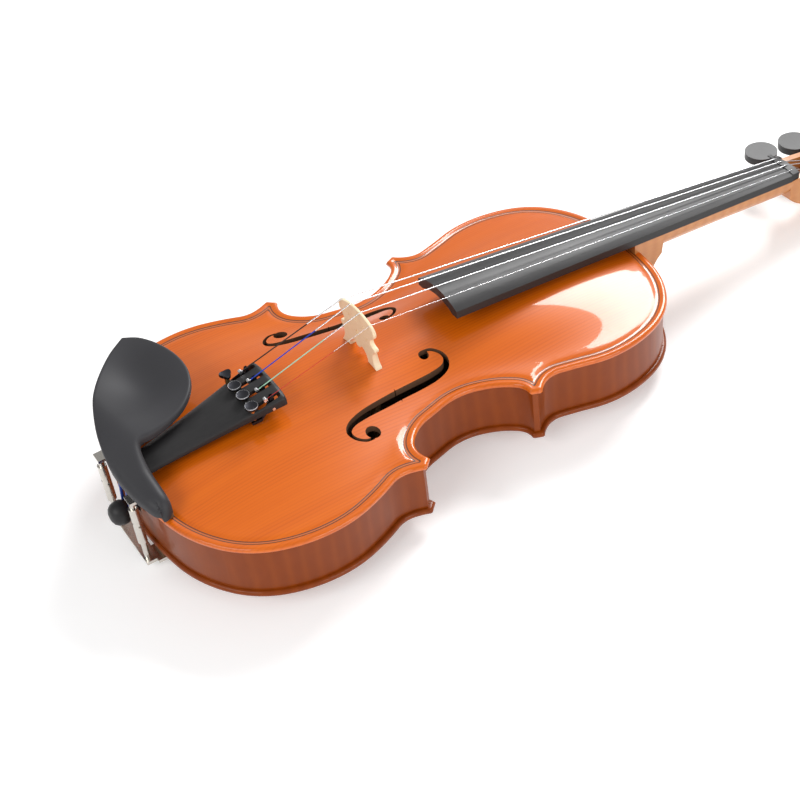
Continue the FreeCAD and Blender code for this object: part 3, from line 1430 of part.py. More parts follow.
def build():
    """Make every sub-part, fitted to its neighbours."""
    string_solids = [string_tube(string) for string in STRINGS]
    for string, solid in zip(STRINGS, string_solids):
        shaped(string + "_string", solid)
        shaped(string + "_winding", winding(string))
        peg(string)
    saddle_piece = saddle()
    button_piece = end_button()
    DOC.recompute()
    unshifted = Vector(0, size("frame_shift"), 0)
    saddle_solid = saddle_piece.Shape.copy()
    saddle_solid.translate(unshifted)
    button_solid = button_piece.Shape.copy()
    button_solid.translate(unshifted)
    board = fingerboard()
    nut_piece = nut(string_solids)
    DOC.recompute()
    nut_solid = nut_piece.Shape.copy()
    nut_solid.translate(unshifted)
    neck = only_solid(neck_and_scroll().cut([board, nut_solid]))
    shaped("neck_and_scroll", neck)
    shaped("fingerboard", only_solid(board))
    top, back = sound_box(neck, button_solid, saddle_solid)
    bridge(top, string_solids)
    shaped("tailgut", tailgut())
    shaped("tailpiece", only_solid(tailpiece()))
    axle = axle_centre()
    wide = size("tailpiece_half_wide") - 1.0
    axle_rod = rod("axle", axle - Vector(wide, 0, 0), ALONG_X, "axle_radius", "2 * (tailpiece_half_wide - 1)")
    finish(axle_rod, "tuner_axle")
    for string in STRINGS:
        tuner_lever(string)
        tuner_shank(string)
        tuner_head(string)
    shaped("chinrest", only_solid(chinrest()))
    shaped("chinrest_cork", cork_pads(top))
    shaped("clamp_hooks", clamp_hooks())
    clamp_barrel("clamp_barrel_bass", -1)
    clamp_barrel("clamp_barrel_treble", 1)
    shaped("clamp_foot", only_solid(clamp_foot()))
    shaped("clamp_foot_cork", clamp_foot_cork(back))


def check_and_write():
    """Stop on any failed object or unsound solid, then write one STEP file for each sub-part."""
    DOC.recompute()
    failed = [thing.Name for thing in DOC.Objects if "Invalid" in thing.State or "Error" in thing.State]
    unsound = [piece.Label for piece in PARTS
               if piece.Shape.isNull() or not piece.Shape.isValid() or not piece.Shape.Solids]
    if failed or unsound:
        raise RuntimeError("failed objects %s, unsound sub-parts %s" % (failed, unsound))
    os.makedirs("parts", exist_ok=True)
    for piece in PARTS:
        piece.Shape.exportStep("parts/%s.step" % piece.Label)


build()
check_and_write()
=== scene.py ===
import math

import bmesh
import bpy
import numpy as np
from mathutils import Matrix, Vector
from mathutils.geometry import delaunay_2d_cdt


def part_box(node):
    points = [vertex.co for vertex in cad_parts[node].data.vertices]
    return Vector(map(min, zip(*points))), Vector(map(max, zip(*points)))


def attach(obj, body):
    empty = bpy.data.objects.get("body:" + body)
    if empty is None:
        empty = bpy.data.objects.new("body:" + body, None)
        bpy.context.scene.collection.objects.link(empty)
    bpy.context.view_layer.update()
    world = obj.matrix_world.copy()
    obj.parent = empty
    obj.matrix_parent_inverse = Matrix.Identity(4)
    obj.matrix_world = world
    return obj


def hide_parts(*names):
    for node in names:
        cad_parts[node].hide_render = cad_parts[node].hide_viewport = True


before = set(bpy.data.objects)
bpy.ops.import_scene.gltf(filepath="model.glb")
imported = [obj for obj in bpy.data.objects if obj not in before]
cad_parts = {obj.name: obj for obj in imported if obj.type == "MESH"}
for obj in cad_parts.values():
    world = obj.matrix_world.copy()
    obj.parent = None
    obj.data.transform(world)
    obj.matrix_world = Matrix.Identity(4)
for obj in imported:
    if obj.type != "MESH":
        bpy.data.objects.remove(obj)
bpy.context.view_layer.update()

# ---- Varnish and wood
# The body is spruce and maple under a glossy orange-brown spirit varnish, brushed on in thin coats
# and polished. The grain shows through it, and it is thinner and paler where hands and cloths rub.


class Amount:
    """A number that varies over a surface. Arithmetic on amounts adds Math nodes."""

    def __init__(self, finish, socket):
        self.finish = finish
        self.socket = socket

    def worked(self, operation, *values):
        made = self.finish.node("ShaderNodeMath", {"operation": operation}, values)
        return Amount(self.finish, made.outputs[0])

    def __add__(self, other):
        return self.worked("ADD", self, other)

    def __sub__(self, other):
        return self.worked("SUBTRACT", self, other)

    def __rsub__(self, other):
        return self.worked("SUBTRACT", other, self)

    def __mul__(self, other):
        return self.worked("MULTIPLY", self, other)

    def __pow__(self, other):
        return self.worked("POWER", self, other)

    __radd__ = __add__
    __rmul__ = __mul__

    def wave(self):
        """0 to 1 and back, once for each full turn of this amount."""
        return self.worked("SINE", self) * 0.5 + 0.5

    def above(self, level):
        return self.worked("GREATER_THAN", self, level)

    def size(self):
        return self.worked("ABSOLUTE", self)


class Finish:
    """One surface finish: a principled shader with amounts and colours fed into it."""

    def __init__(self, name, color, **constants):
        self.material = bpy.data.materials.new(name)
        self.material.use_nodes = True
        self.nodes = self.material.node_tree.nodes
        self.links = self.material.node_tree.links
        self.shader = self.nodes["Principled BSDF"]
        self.shader.inputs["Base Color"].default_value = (*color, 1)
        for socket, value in constants.items():
            self.shader.inputs[socket.replace("_", " ")].default_value = value
        self.place = self.node("ShaderNodeTexCoord").outputs["Object"]

    def connect(self, socket, value):
        if isinstance(value, Amount):
            value = value.socket
        if isinstance(value, bpy.types.NodeSocket):
            self.links.new(value, socket)
        else:
            socket.default_value = value

    def node(self, kind, settings=None, values=(), **named):
        made = self.nodes.new(kind)
        for name, value in (settings or {}).items():
            setattr(made, name, value)
        for socket, value in zip(made.inputs, values):
            self.connect(socket, value)
        for name, value in named.items():
            self.connect(made.inputs[name], value)
        return made

    def along(self, axis):
        return Amount(self, self.node("ShaderNodeSeparateXYZ", None, [self.place]).outputs["XYZ".index(axis)])

    def noise(self, scale, stretch=(1, 1, 1), detail=3.0):
        spread = self.node("ShaderNodeMapping", None, [self.place], Scale=stretch)
        made = self.node("ShaderNodeTexNoise", None, (), Vector=spread.outputs[0], Scale=scale, Detail=detail)
        return Amount(self, made.outputs["Fac"])

    def mix(self, share, first, second):
        made = self.node("ShaderNodeMix", {"data_type": "RGBA"})
        self.connect(made.inputs[0], share)
        for socket, color in ((made.inputs[6], first), (made.inputs[7], second)):
            self.connect(socket, color if isinstance(color, bpy.types.NodeSocket) else (*color, 1))
        return made.outputs[2]

    def feed(self, **inputs):
        for socket, value in inputs.items():
            self.connect(self.shader.inputs[socket.replace("_", " ")], value)

    def bump(self, height, distance, strength=1.0):
        made = self.node("ShaderNodeBump", None, (), Height=height, Distance=distance, Strength=strength)
        self.feed(Normal=made.outputs["Normal"])


GRAIN_SPACING = 0.0021
FLAME_SPACING = 0.009


def varnished_spruce(name):
    """Straight lengthwise grain under the varnish, its dark lines uneven and about 2 mm apart."""
    finish = Finish(name, (0.55, 0.17, 0.02), Coat_Roughness=0.045, Coat_IOR=1.42, Specular_IOR_Level=0.25)
    drift = finish.noise(26, (1, 0.05, 1), 2)
    across = finish.along("X") + drift * 0.011
    lines = (across * (2 * math.pi / GRAIN_SPACING)).wave() ** 3
    band = finish.noise(170, (1, 0.03, 1), 4)
    cloud = finish.noise(11, (1, 0.5, 1), 3)
    ground = finish.mix(cloud, (0.60, 0.105, 0.001), (0.76, 0.165, 0.003))
    uneven = finish.noise(38, (1, 0.04, 1), 2)
    ground = finish.mix(band * 0.45, ground, (0.46, 0.062, 0.002))
    ground = finish.mix(lines * uneven ** 2 * band * 1.1, ground, (0.33, 0.038, 0.002))
    finish.feed(Base_Color=ground, Roughness=0.30 + cloud * 0.10, Coat_Weight=0.80 - finish.noise(60) * 0.1)
    finish.bump(lines * 0.5 + band, 0.00006, 0.5)
    return finish


def varnished_maple(name):
    """Maple with a faint flame across the piece."""
    finish = Finish(name, (0.50, 0.15, 0.02), Coat_Roughness=0.05, Coat_IOR=1.42, Specular_IOR_Level=0.15)
    drift = finish.noise(14, (1, 1, 0.6), 2)
    flame = ((finish.along("Y") + drift * 0.012) * (2 * math.pi / FLAME_SPACING)).wave() ** 2
    pores = finish.noise(420, (1, 0.25, 0.25), 2)
    cloud = finish.noise(9, (1, 1, 1), 3)
    ground = finish.mix(cloud, (0.17, 0.028, 0.001), (0.28, 0.052, 0.002))
    ground = finish.mix(flame * 0.14, ground, (0.42, 0.09, 0.006))
    ground = finish.mix(pores * 0.25, ground, (0.08, 0.012, 0.002))
    finish.feed(Base_Color=ground, Roughness=0.34 + cloud * 0.10, Coat_Weight=0.32 - finish.noise(60) * 0.1)
    finish.bump(pores, 0.00004, 0.4)
    return finish


# ---- Outline of the body
# Both plates are sawn to one outline: arcs that run into each other round the bouts, and four
# corners cut off square. The ribs follow it 2.5 mm inside, and the inlay 4 mm inside.

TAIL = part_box("top_plate")[0].y
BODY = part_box("top_plate")[1].y - TAIL
LOWER_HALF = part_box("top_plate")[1].x
WAIST_HALF = 0.056
UPPER_HALF = 0.084
LOWER_WIDEST = 0.078
WAIST_PLACE = 0.1875
UPPER_WIDEST = 0.286
LOWER_TIP = (0.092, 0.144)
UPPER_TIP = (0.0815, 0.2255)
ROUND_POWER = 2.35          # the ends are superellipses of this power
ROUND_END = 0.7446          # where such a curve crosses its diagonal


def arc_points(start, direction, end, spacing):
    """Points along the arc that leaves start along direction and reaches end."""
    chord = end - start
    normal = np.array([-direction[1], direction[0]])
    bulge = 2 * normal @ chord
    radius = chord @ chord / bulge
    centre = start + normal * radius
    first = math.atan2(*(start - centre)[::-1])
    last = math.atan2(*(end - centre)[::-1])
    if radius > 0 and last < first:
        last += 2 * math.pi
    if radius < 0 and last > first:
        last -= 2 * math.pi
    count = max(2, round(abs(last - first) * abs(radius) / spacing))
    turns = first + (last - first) * np.arange(count) / count
    return [centre + abs(radius) * np.array([math.cos(turn), math.sin(turn)]) for turn in turns]


def double_arc_points(start, start_degrees, end, end_degrees, spacing):
    """Two arcs, tangent to each other, between two places with given headings."""
    start = np.array(start)
    end = np.array(end)
    first = np.array([math.cos(math.radians(start_degrees)), math.sin(math.radians(start_degrees))])
    last = np.array([math.cos(math.radians(end_degrees)), math.sin(math.radians(end_degrees))])
    chord = end - start
    a = 2 * (first @ last - 1)
    b = -2 * chord @ (first + last)
    c = chord @ chord
    root = math.sqrt(b * b - 4 * a * c)
    reach = max((-b + root) / (2 * a), (-b - root) / (2 * a))
    knee_in = start + first * reach
    knee_out = end - last * reach
    across = (knee_out - knee_in) / np.linalg.norm(knee_out - knee_in)
    joint = (knee_in + knee_out) / 2
    return arc_points(start, first, joint, spacing) + arc_points(joint, across, end, spacing)


def straight_points(start, end, spacing):
    start = np.array(start)
    end = np.array(end)
    count = max(1, round(np.linalg.norm(end - start) / spacing))
    return [start + (end - start) * k / count for k in range(count)]


def body_outline(spacing):
    """Points round the whole outline, from the tail by the treble side, in the part's own place."""
    (lx, ly), (ux, uy) = LOWER_TIP, UPPER_TIP
    up_span = BODY - UPPER_WIDEST
    low_heading = math.degrees(math.atan2(LOWER_WIDEST, LOWER_HALF))
    up_heading = 180 - math.degrees(math.atan2(up_span, UPPER_HALF))
    runs = [
        [((0, 0), 0), ((LOWER_HALF * ROUND_END, LOWER_WIDEST * (1 - ROUND_END)), low_heading),
         ((LOWER_HALF, LOWER_WIDEST), 90), ((lx + 0.0005, ly - 0.0235), 116),
         ((lx + 0.0027, ly - 0.0027), 62)],
        [((lx - 0.0027, ly + 0.0028), 212), ((WAIST_HALF + 0.0045, WAIST_PLACE - 0.0225), 104),
         ((WAIST_HALF, WAIST_PLACE), 90), ((WAIST_HALF + 0.006, WAIST_PLACE + 0.0215), 62),
         ((ux - 0.0015, uy - 0.0033), -12)],
        [((ux + 0.0015, uy + 0.0032), 142), ((ux - 0.006, uy + 0.0215), 76), ((UPPER_HALF, UPPER_WIDEST), 90),
         ((UPPER_HALF * ROUND_END, UPPER_WIDEST + up_span * ROUND_END), up_heading), ((0, BODY), 180)],
    ]
    half = []
    for run in runs:
        if half:
            half += straight_points(last_place, run[0][0], spacing)
        for (start, turn_in), (end, turn_out) in zip(run, run[1:]):
            half += double_arc_points(start, turn_in, end, turn_out, spacing)
        last_place = run[-1][0]
    half = np.array(half + [np.array([0, BODY])])
    other = half[-2:0:-1] * [-1, 1]
    return np.vstack([half, other]) + [0, TAIL]


OUTLINE = body_outline(0.0010)


def edge_distance(places, outline):
    """How far each place is from the outline."""
    start = outline
    run = np.roll(start, -1, axis=0) - start
    length = (run ** 2).sum(1)
    found = []
    for chunk in np.array_split(places, max(1, len(places) // 400)):
        offset = chunk[:, None, :] - start[None]
        share = np.clip((offset * run[None]).sum(2) / length, 0, 1)
        gap = offset - share[..., None] * run[None]
        found.append(np.sqrt((gap ** 2).sum(2)).min(1))
    return np.concatenate(found)


CORNER_SLACK = 0.985


def outline_inside(outline, distance):
    """The outline moved inwards, without the places that a corner is too narrow for."""
    ahead = np.roll(outline, -1, axis=0) - np.roll(outline, 1, axis=0)
    ahead /= np.linalg.norm(ahead, axis=1)[:, None]
    moved = outline + np.stack([-ahead[:, 1], ahead[:, 0]], 1) * distance
    return moved[edge_distance(moved, outline) > distance * CORNER_SLACK]


# ---- Top and back plates
# Two carved plates, spruce over maple. Each rises from a shallow channel beside a rounded edge to
# its arch, and the top is pierced by two f-holes. They are glued to the ribs all the way round.

LONG_ARCH_POWER = 3.2
CROSS_ARCH_POWER = 1.25
ARCH_INSET = 0.006
HOLLOW_INSET = 0.011
GLUING_WIDTH = 0.008
EDGE_ROUND = 0.0019
CHANNEL_DEPTH = 0.0009
CHANNEL_END = 0.0095
TOP_GLUE = 0.046
TOP_EDGE = 0.050
TOP_ARCH = 0.012
TOP_HOLLOW = 0.0122
BACK_GLUE = 0.015
BACK_EDGE = 0.011
BACK_ARCH = 0.011
BACK_HOLLOW = 0.0097
HOLLOW_STEP = 0.0008


def eased(value, start, end, low, high):
    share = np.clip((value - start) / (end - start), 0, 1)
    return low + (high - low) * 0.5 * (1 - np.cos(np.pi * share))


def arch_share(x, y, inset):
    """Height of the arch at places in the part's frame, as a share of its crown."""
    y = y - TAIL
    low = np.clip((LOWER_WIDEST - y) / (LOWER_WIDEST - inset), 0, 0.995)
    high = np.clip((y - UPPER_WIDEST) / (BODY - inset - UPPER_WIDEST), 0, 0.995)
    narrow = WAIST_HALF - inset
    width = np.where(y < WAIST_PLACE,
                     eased(y, LOWER_WIDEST, WAIST_PLACE, LOWER_HALF - inset, narrow),
                     eased(y, WAIST_PLACE, UPPER_WIDEST, narrow, UPPER_HALF - inset))
    for past in (low, high):
        width = width * (1 - past ** ROUND_POWER) ** (1 / ROUND_POWER)
    along = np.clip(1 - np.abs(2 * (y - inset) / (BODY - 2 * inset) - 1) ** LONG_ARCH_POWER, 0, 1)
    across = np.clip(np.abs(x) / width, 0, 1) ** CROSS_ARCH_POWER
    return along * 0.5 * (1 + np.cos(np.pi * across))


def rounded_edge(distance, radius):
    """How far a surface with a rounded edge has fallen, at a distance from its outline."""
    return radius - np.sqrt(np.clip(radius ** 2 - np.clip(radius - distance, 0, None) ** 2, 0, None))


def edge_profile(distance):
    """The rounded edge and the channel beside it: how far the surface lies under its plain level."""
    share = np.clip((distance - EDGE_ROUND) / (CHANNEL_END - EDGE_ROUND), 0, 1)
    return rounded_edge(distance, EDGE_ROUND) + CHANNEL_DEPTH * 0.5 * (1 - np.cos(2 * np.pi * share))


def hollowed(points, edge, depth):
    """How deep the inside of a plate is carved, beyond the flat that is glued to the ribs."""
    return np.where(edge < GLUING_WIDTH, 0, HOLLOW_STEP + depth * arch_share(*points.T, HOLLOW_INSET))


def inside_loop(places, loop):
    """Which places lie inside a closed loop."""
    x, y = places[:, 0:1], places[:, 1:2]
    x0, y0 = loop[:, 0], loop[:, 1]
    x1, y1 = np.roll(x0, -1), np.roll(y0, -1)
    crossed = (y0 > y) != (y1 > y)
    level = x0 + (y - y0) * (x1 - x0) / np.where(y1 == y0, 1, y1 - y0)
    return (crossed & (x < level)).sum(1) % 2 == 1


def smooth_run(points, steps):
    """A smooth run through rows of numbers, with steps places for each row (Catmull-Rom)."""
    rows = np.array(points, float)
    rows = np.vstack([2 * rows[0] - rows[1], rows, 2 * rows[-1] - rows[-2]])
    found = []
    for a, b, c, d in zip(rows, rows[1:], rows[2:], rows[3:]):
        for t in np.arange(steps) / steps:
            found.append(0.5 * (2 * b + (c - a) * t + (2 * a - 5 * b + 4 * c - d) * t ** 2
                                + (3 * b - a - 3 * c + d) * t ** 3))
    return np.array(found + [rows[-2]])


# The treble f-hole in millimetres: place across, place from the bridge line, half width of the cut.
BRIDGE_PLACE = 0.158
STEM = [(20.2, 29.2, 0.9), (21.2, 34, 1.0), (25.4, 38, 1.1), (30.2, 38.8, 1.5), (34.6, 35.2, 2.3),
        (36.8, 26.5, 3.1), (37.8, 14, 3.4), (38.8, 1.5, 3.4), (40.4, -11.5, 3.4), (42.2, -24.5, 3.0),
        (45, -34.6, 2.2), (49.4, -39.4, 1.5), (54.8, -38.4, 1.1), (58.6, -33.8, 1.0), (59, -28.8, 0.9)]
EYES = [(22.4, 28.6, 3.1), (55.2, -27.2, 4.4)]
NICK_PLACE = 0.0389
NICK_REACH = 0.0048
NICK_HALF = 0.0012


def f_hole_loops():
    """The stem, the two eyes and the two nicks of the treble f-hole, as overlapping loops."""
    run = smooth_run(STEM, 6) / 1000
    ahead = np.gradient(run[:, :2], axis=0)
    ahead /= np.linalg.norm(ahead, axis=1)[:, None]
    side = np.stack([-ahead[:, 1], ahead[:, 0]], 1) * run[:, 2:3]
    loops = [np.vstack([run[:, :2] + side, (run[:, :2] - side)[::-1]])]
    turns = np.arange(36) * math.pi / 18
    for x, y, radius in np.array(EYES) / 1000:
        loops.append(np.stack([x + radius * np.cos(turns), y + radius * np.sin(turns)], 1))
    for side in (-1, 1):
        point = NICK_PLACE + side * NICK_REACH
        loops.append(np.array([(NICK_PLACE, -NICK_HALF), (point, 0), (NICK_PLACE, NICK_HALF)]))
    return [loop + [0, TAIL + BRIDGE_PLACE] for loop in loops]


PURFLING_BANDS = (0.0044, 0.0050, 0.0060, 0.0066)
EDGE_RINGS = (0.00012, 0.0003, 0.0006, 0.00105, 0.0019, 0.0030, *PURFLING_BANDS, 0.0075, 0.0085, 0.0095)
GRID = 0.0027


def plate_triangles(outline, rings, spacing, holes=(), lines=()):
    """Places, triangles and edge distances of a plate from above: rings by its edge, a grid within."""
    loops = [outline, *(outline_inside(outline, distance) for distance in rings), *holes, *lines]
    places = list(np.vstack(loops))
    edges = []
    start = 0
    for loop in loops:
        edges += [(start + k, start + (k + 1) % len(loop)) for k in range(len(loop))]
        start += len(loop)
    (left, near), (right, far) = outline.min(0), outline.max(0)
    across, along = np.meshgrid(np.arange(left, right, spacing), np.arange(near, far, spacing))
    grid = np.stack([across, along], -1).reshape(-1, 2)
    grid = grid[inside_loop(grid, outline)]
    grid = grid[edge_distance(grid, outline) > rings[-1] + spacing * 0.4]
    made = delaunay_2d_cdt([Vector(place) for place in places + list(grid)], edges, [], 0, 1e-7)
    points = np.array([tuple(place) for place in made[0]])
    triangles = np.array(made[2])
    middle = points[triangles].mean(1)
    kept = inside_loop(middle, outline)
    for hole in holes:
        kept &= ~inside_loop(middle, hole)
    return points, triangles[kept], edge_distance(points, outline)


def slab(name, points, triangles, upper, lower, edge):
    """A solid between two levels over the same triangles, with walls along every free edge."""
    used, triangles = np.unique(triangles, return_inverse=True)
    triangles = triangles.reshape(-1, 3)
    mesh = bmesh.new()
    layer = mesh.verts.layers.float.new("from_edge")
    sheets = []
    for level in (upper, lower):
        sheet = [mesh.verts.new((*points[k], level[k])) for k in used]
        for vertex, k in zip(sheet, used):
            vertex[layer] = edge[k]
        sheets.append(sheet)
    for a, b, c in triangles:
        mesh.faces.new((sheets[0][a], sheets[0][b], sheets[0][c]))
        mesh.faces.new((sheets[1][c], sheets[1][b], sheets[1][a]))
    sides = np.sort(np.vstack([triangles[:, [0, 1]], triangles[:, [1, 2]], triangles[:, [2, 0]]]), axis=1)
    found, count = np.unique(sides, axis=0, return_counts=True)
    for a, b in found[count == 1]:
        mesh.faces.new((sheets[0][a], sheets[0][b], sheets[1][b], sheets[1][a]))
    bmesh.ops.recalc_face_normals(mesh, faces=mesh.faces)
    return finished(name, mesh, 40)


def finished(name, mesh, crease_degrees=35):
    """The bmesh as an object in the scene, shaded smooth except along its creases."""
    data = bpy.data.meshes.new(name)
    for face in mesh.faces:
        face.smooth = True
    for edge in mesh.edges:
        if len(edge.link_faces) == 2 and edge.calc_face_angle() > math.radians(crease_degrees):
            edge.smooth = False
    mesh.to_mesh(data)
    mesh.free()
    piece = bpy.data.objects.new(name, data)
    bpy.context.scene.collection.objects.link(piece)
    return piece


def fit_piece(piece, finish, slot, body, *nodes):
    """Gives a piece its finish and its body, and hides the CAD nodes that it stands for."""
    piece.data.materials.append(finish.material)
    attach(piece, body)
    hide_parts(*nodes)


hole_loops = f_hole_loops()
hole_loops += [loop * [-1, 1] for loop in hole_loops]
points, triangles, edge = plate_triangles(OUTLINE, EDGE_RINGS, GRID, hole_loops)
arch = arch_share(points[:, 0], points[:, 1], ARCH_INSET)
top_level = TOP_EDGE + TOP_ARCH * arch - edge_profile(edge)
top_under = TOP_GLUE + hollowed(points, edge, TOP_HOLLOW) + rounded_edge(edge, EDGE_ROUND)
top = slab("spruce_top", points, triangles, top_level, top_under, edge)
spruce = varnished_spruce("varnished_spruce_finish")
fit_piece(top, spruce, "varnished_spruce", "root", "top_plate")

# Painted shade: a dark bare-wood colour for the inside of the body and the f-hole walls, which lie in shade.
painted_shade_wood = Finish("painted_shade_wood_finish", (0.10, 0.045, 0.018), Roughness=0.8)
inner_grain = painted_shade_wood.noise(300, (1, 0.05, 1), 3)
painted_shade_wood.feed(Base_Color=painted_shade_wood.mix(inner_grain, (0.07, 0.028, 0.012), (0.15, 0.07, 0.03)))
painted_shade_wood.bump(inner_grain, 0.00005, 0.5)


def paint_inner_shade(plate, outward):
    """The inner face and the cut walls of a plate are bare wood, painted dark as shade for the dark inside of
    the body seen through the f-holes.
    """
    plate.data.materials.append(painted_shade_wood.material)
    from_rim = plate.data.attributes["from_edge"].data
    for face in plate.data.polygons:
        if face.normal.z * outward < 0.3 and from_rim[face.vertices[0]].value > GLUING_WIDTH:
            face.material_index = 1


# Painted shade on the top's underside and f-hole walls.
paint_inner_shade(top, 1)
INLAY_MIDDLE = 0.0055
PALE_HALF = 0.0005
purfling = Finish("purfling_finish", (0.02, 0.01, 0.006), Coat_Weight=0.9, Coat_Roughness=0.06, Roughness=0.4)
edge_reader = purfling.node("ShaderNodeAttribute", {"attribute_name": "from_edge"})
from_edge = Amount(purfling, edge_reader.outputs["Fac"])
dark = (from_edge - INLAY_MIDDLE).size().above(PALE_HALF)
worn = purfling.noise(260, (1, 1, 1), 3)
strips = purfling.mix(dark * (0.75 + worn * 0.25), (0.50, 0.11, 0.012), (0.035, 0.010, 0.004))
purfling.feed(Base_Color=strips)
purfling.bump(worn, 0.00005, 0.4)
INLAY_PROUD = 0.00007
INLAY_DEEP = 0.0015


def inlay_strip(name, points, triangles, upper, lower, edge, node):
    """Three thin strips of wood, dark, pale and dark, let into a plate beside its edge."""
    middle = edge[triangles].mean(1)
    between = triangles[(middle > PURFLING_BANDS[0]) & (middle < PURFLING_BANDS[-1])]
    strip = slab(name, points, between, upper, lower, edge)
    fit_piece(strip, purfling, "purfling", "root", node)


inlay_strip("top_inlay", points, triangles, top_level + INLAY_PROUD, top_level - INLAY_DEEP, edge,
            "top_purfling")

points, triangles, edge = plate_triangles(OUTLINE, EDGE_RINGS, GRID)
arch = arch_share(points[:, 0], points[:, 1], ARCH_INSET)
back_level = BACK_EDGE - BACK_ARCH * arch + edge_profile(edge)
back_upper = BACK_GLUE - hollowed(points, edge, BACK_HOLLOW) - rounded_edge(edge, EDGE_ROUND)
back = slab("maple_back", points, triangles, back_upper, back_level, edge)
maple = varnished_maple("varnished_maple_finish")
fit_piece(back, maple, "varnished_maple", "root", "back_plate")
# Painted shade on the back's inner face.
paint_inner_shade(back, -1)

# The tab that the neck's heel is glued to is cut in one piece with the back.
TAB_HALF = 0.0105
TAB_REACH = 0.012
TAB_INSIDE = 0.003
TAB_ROUND = 0.0007
mesh = bmesh.new()
bmesh.ops.create_circle(mesh, cap_ends=True, segments=64, radius=TAB_HALF)
bmesh.ops.bisect_plane(mesh, geom=mesh.verts[:] + mesh.edges[:] + mesh.faces[:], plane_co=(0, 0, 0),
                       plane_no=(0, -1, 0), clear_outer=True)
straight = [vert for vert in mesh.verts if abs(vert.co.y) < 1e-6]
bmesh.ops.translate(mesh, verts=straight, vec=(0, -(TAB_REACH - TAB_HALF + TAB_INSIDE), 0))
raised = bmesh.ops.extrude_face_region(mesh, geom=mesh.faces[:])["geom"]
bmesh.ops.translate(mesh, verts=[part for part in raised if isinstance(part, bmesh.types.BMVert)],
                    vec=(0, 0, BACK_GLUE - BACK_EDGE))
low_rim = [line for line in mesh.edges if max(vert.co.z for vert in line.verts) < 1e-6]
bmesh.ops.bevel(mesh, geom=low_rim, offset=TAB_ROUND, segments=3, profile=0.5, affect="EDGES", material=-1)
bmesh.ops.recalc_face_normals(mesh, faces=mesh.faces)
head_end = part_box("top_plate")[1].y
bmesh.ops.translate(mesh, verts=mesh.verts, vec=(0, head_end + TAB_REACH - TAB_HALF, BACK_EDGE))
mesh.from_mesh(back.data)
mesh.to_mesh(back.data)
mesh.free()

inlay_strip("back_inlay", points, triangles, back_level + INLAY_DEEP, back_level - INLAY_PROUD, edge,
            "back_purfling")

# ---- Ribs and the wood inside
# Six thin maple ribs are bent hot and glued between the plates. Spruce blocks, linings, the bass bar
# and the sound post hold them from inside, all bare wood and seen only through the f-holes.


def dress(finish, *nodes):
    """Gives CAD nodes whose shape is right their finish."""
    for node in nodes:
        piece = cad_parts[node]
        piece.data.materials.clear()
        piece.data.materials.append(finish.material)


BOUTS = ("upper", "waist", "lower")
dress(varnished_maple("rib_finish"), *(f"{bout}_rib_{side}" for bout in BOUTS for side in ("bass", "treble")))

bare = Finish("bare_spruce_finish", (0.62, 0.42, 0.22), Roughness=0.75)
grain = ((bare.along("X") + bare.noise(20, (1, 0.1, 1)) * 0.003) * (2 * math.pi / 0.0016)).wave()
bare.feed(Base_Color=bare.mix(grain * 0.6, (0.66, 0.47, 0.26), (0.50, 0.30, 0.13)))
bare.bump(grain, 0.00006, 0.6)
INSIDE = [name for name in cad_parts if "block" in name or "linings" in name]
dress(bare, *INSIDE, "bass_bar", "sound_post")

# ---- Neck and scroll
# One piece of maple: heel, shaft, pegbox and carved scroll. The shaft is stained lighter than the body
# and oiled rather than varnished, so that a hand slides along it.

neck_wood = Finish("neck_maple_finish", (0.50, 0.22, 0.06), Coat_Weight=0.5, Coat_Roughness=0.18)
flame = ((neck_wood.along("Y") + neck_wood.noise(18, (1, 1, 0.6), 2) * 0.01) * (2 * math.pi / 0.008)).wave()
pores = neck_wood.noise(420, (1, 0.2, 1), 2)
ground = neck_wood.mix(flame * 0.35, (0.52, 0.19, 0.045), (0.66, 0.29, 0.08))
stained = neck_wood.mix(pores * 0.3, ground, (0.28, 0.09, 0.02))
neck_wood.feed(Base_Color=stained, Roughness=0.36 + pores * 0.12)
neck_wood.bump(pores, 0.00004, 0.4)
dress(neck_wood, "neck_and_scroll")

# ---- Black fittings
# Fingerboard, nut, saddle, pegs, end button and chinrest are hardwood dyed black, filled and rubbed
# to a satin. The pores stay open, and hands polish the parts that they touch.


def blackened_wood(name, pore_axis, shine=0.36, deep=(0.010, 0.010, 0.011), rubbed_to=(0.024, 0.023, 0.024)):
    stretch = [0.14 if axis == pore_axis else 1.0 for axis in "XYZ"]
    finish = Finish(name, (0.012, 0.012, 0.013), Specular_IOR_Level=0.32)
    pores = finish.noise(900, stretch, 2)
    rubbed = finish.noise(24, (1, 1, 1), 4)
    ground = finish.mix(rubbed, deep, rubbed_to)
    ground = finish.mix(pores * 0.5, ground, (0.035, 0.033, 0.033))
    finish.feed(Base_Color=ground, Roughness=shine + rubbed * 0.16)
    finish.bump(pores, 0.00005, 0.35)
    return finish


STRINGS = "gdae"
dress(blackened_wood("board_finish", "Y", 0.34), "fingerboard", "nut", "saddle")
dress(blackened_wood("peg_finish", "X", 0.30), *(f"{string}_peg" for string in STRINGS))

# ---- Bridge
# Quarter-sawn maple, left white. Its two feet are fitted to the arch, and the strings hold it there.

white_maple = Finish("bridge_finish", (0.74, 0.55, 0.34), Roughness=0.5)
flecks = white_maple.noise(700, (0.3, 1, 1.6), 2)
ground = white_maple.mix(flecks * 0.6, (0.93, 0.78, 0.55), (0.80, 0.58, 0.33))
white_maple.feed(Base_Color=ground, Roughness=0.42 + flecks * 0.15)
white_maple.bump(flecks, 0.00005, 0.5)
BRIDGE_LINE = TAIL + BRIDGE_PLACE
BRIDGE_CROWN = 0.095
BRIDGE_RADIUS = 0.041
BRIDGE_FOOT_THICK = 0.0046
BRIDGE_TOP_THICK = 0.0017
BRIDGE_TAPER = 0.8          # power of the taper, a little fuller below
BRIDGE_EASE = 0.0004
CROWN_HALF = 0.0186
FOOT_OUTER = 0.01925
FOOT_INNER = 0.0100
FOOT_GAP = 0.0001
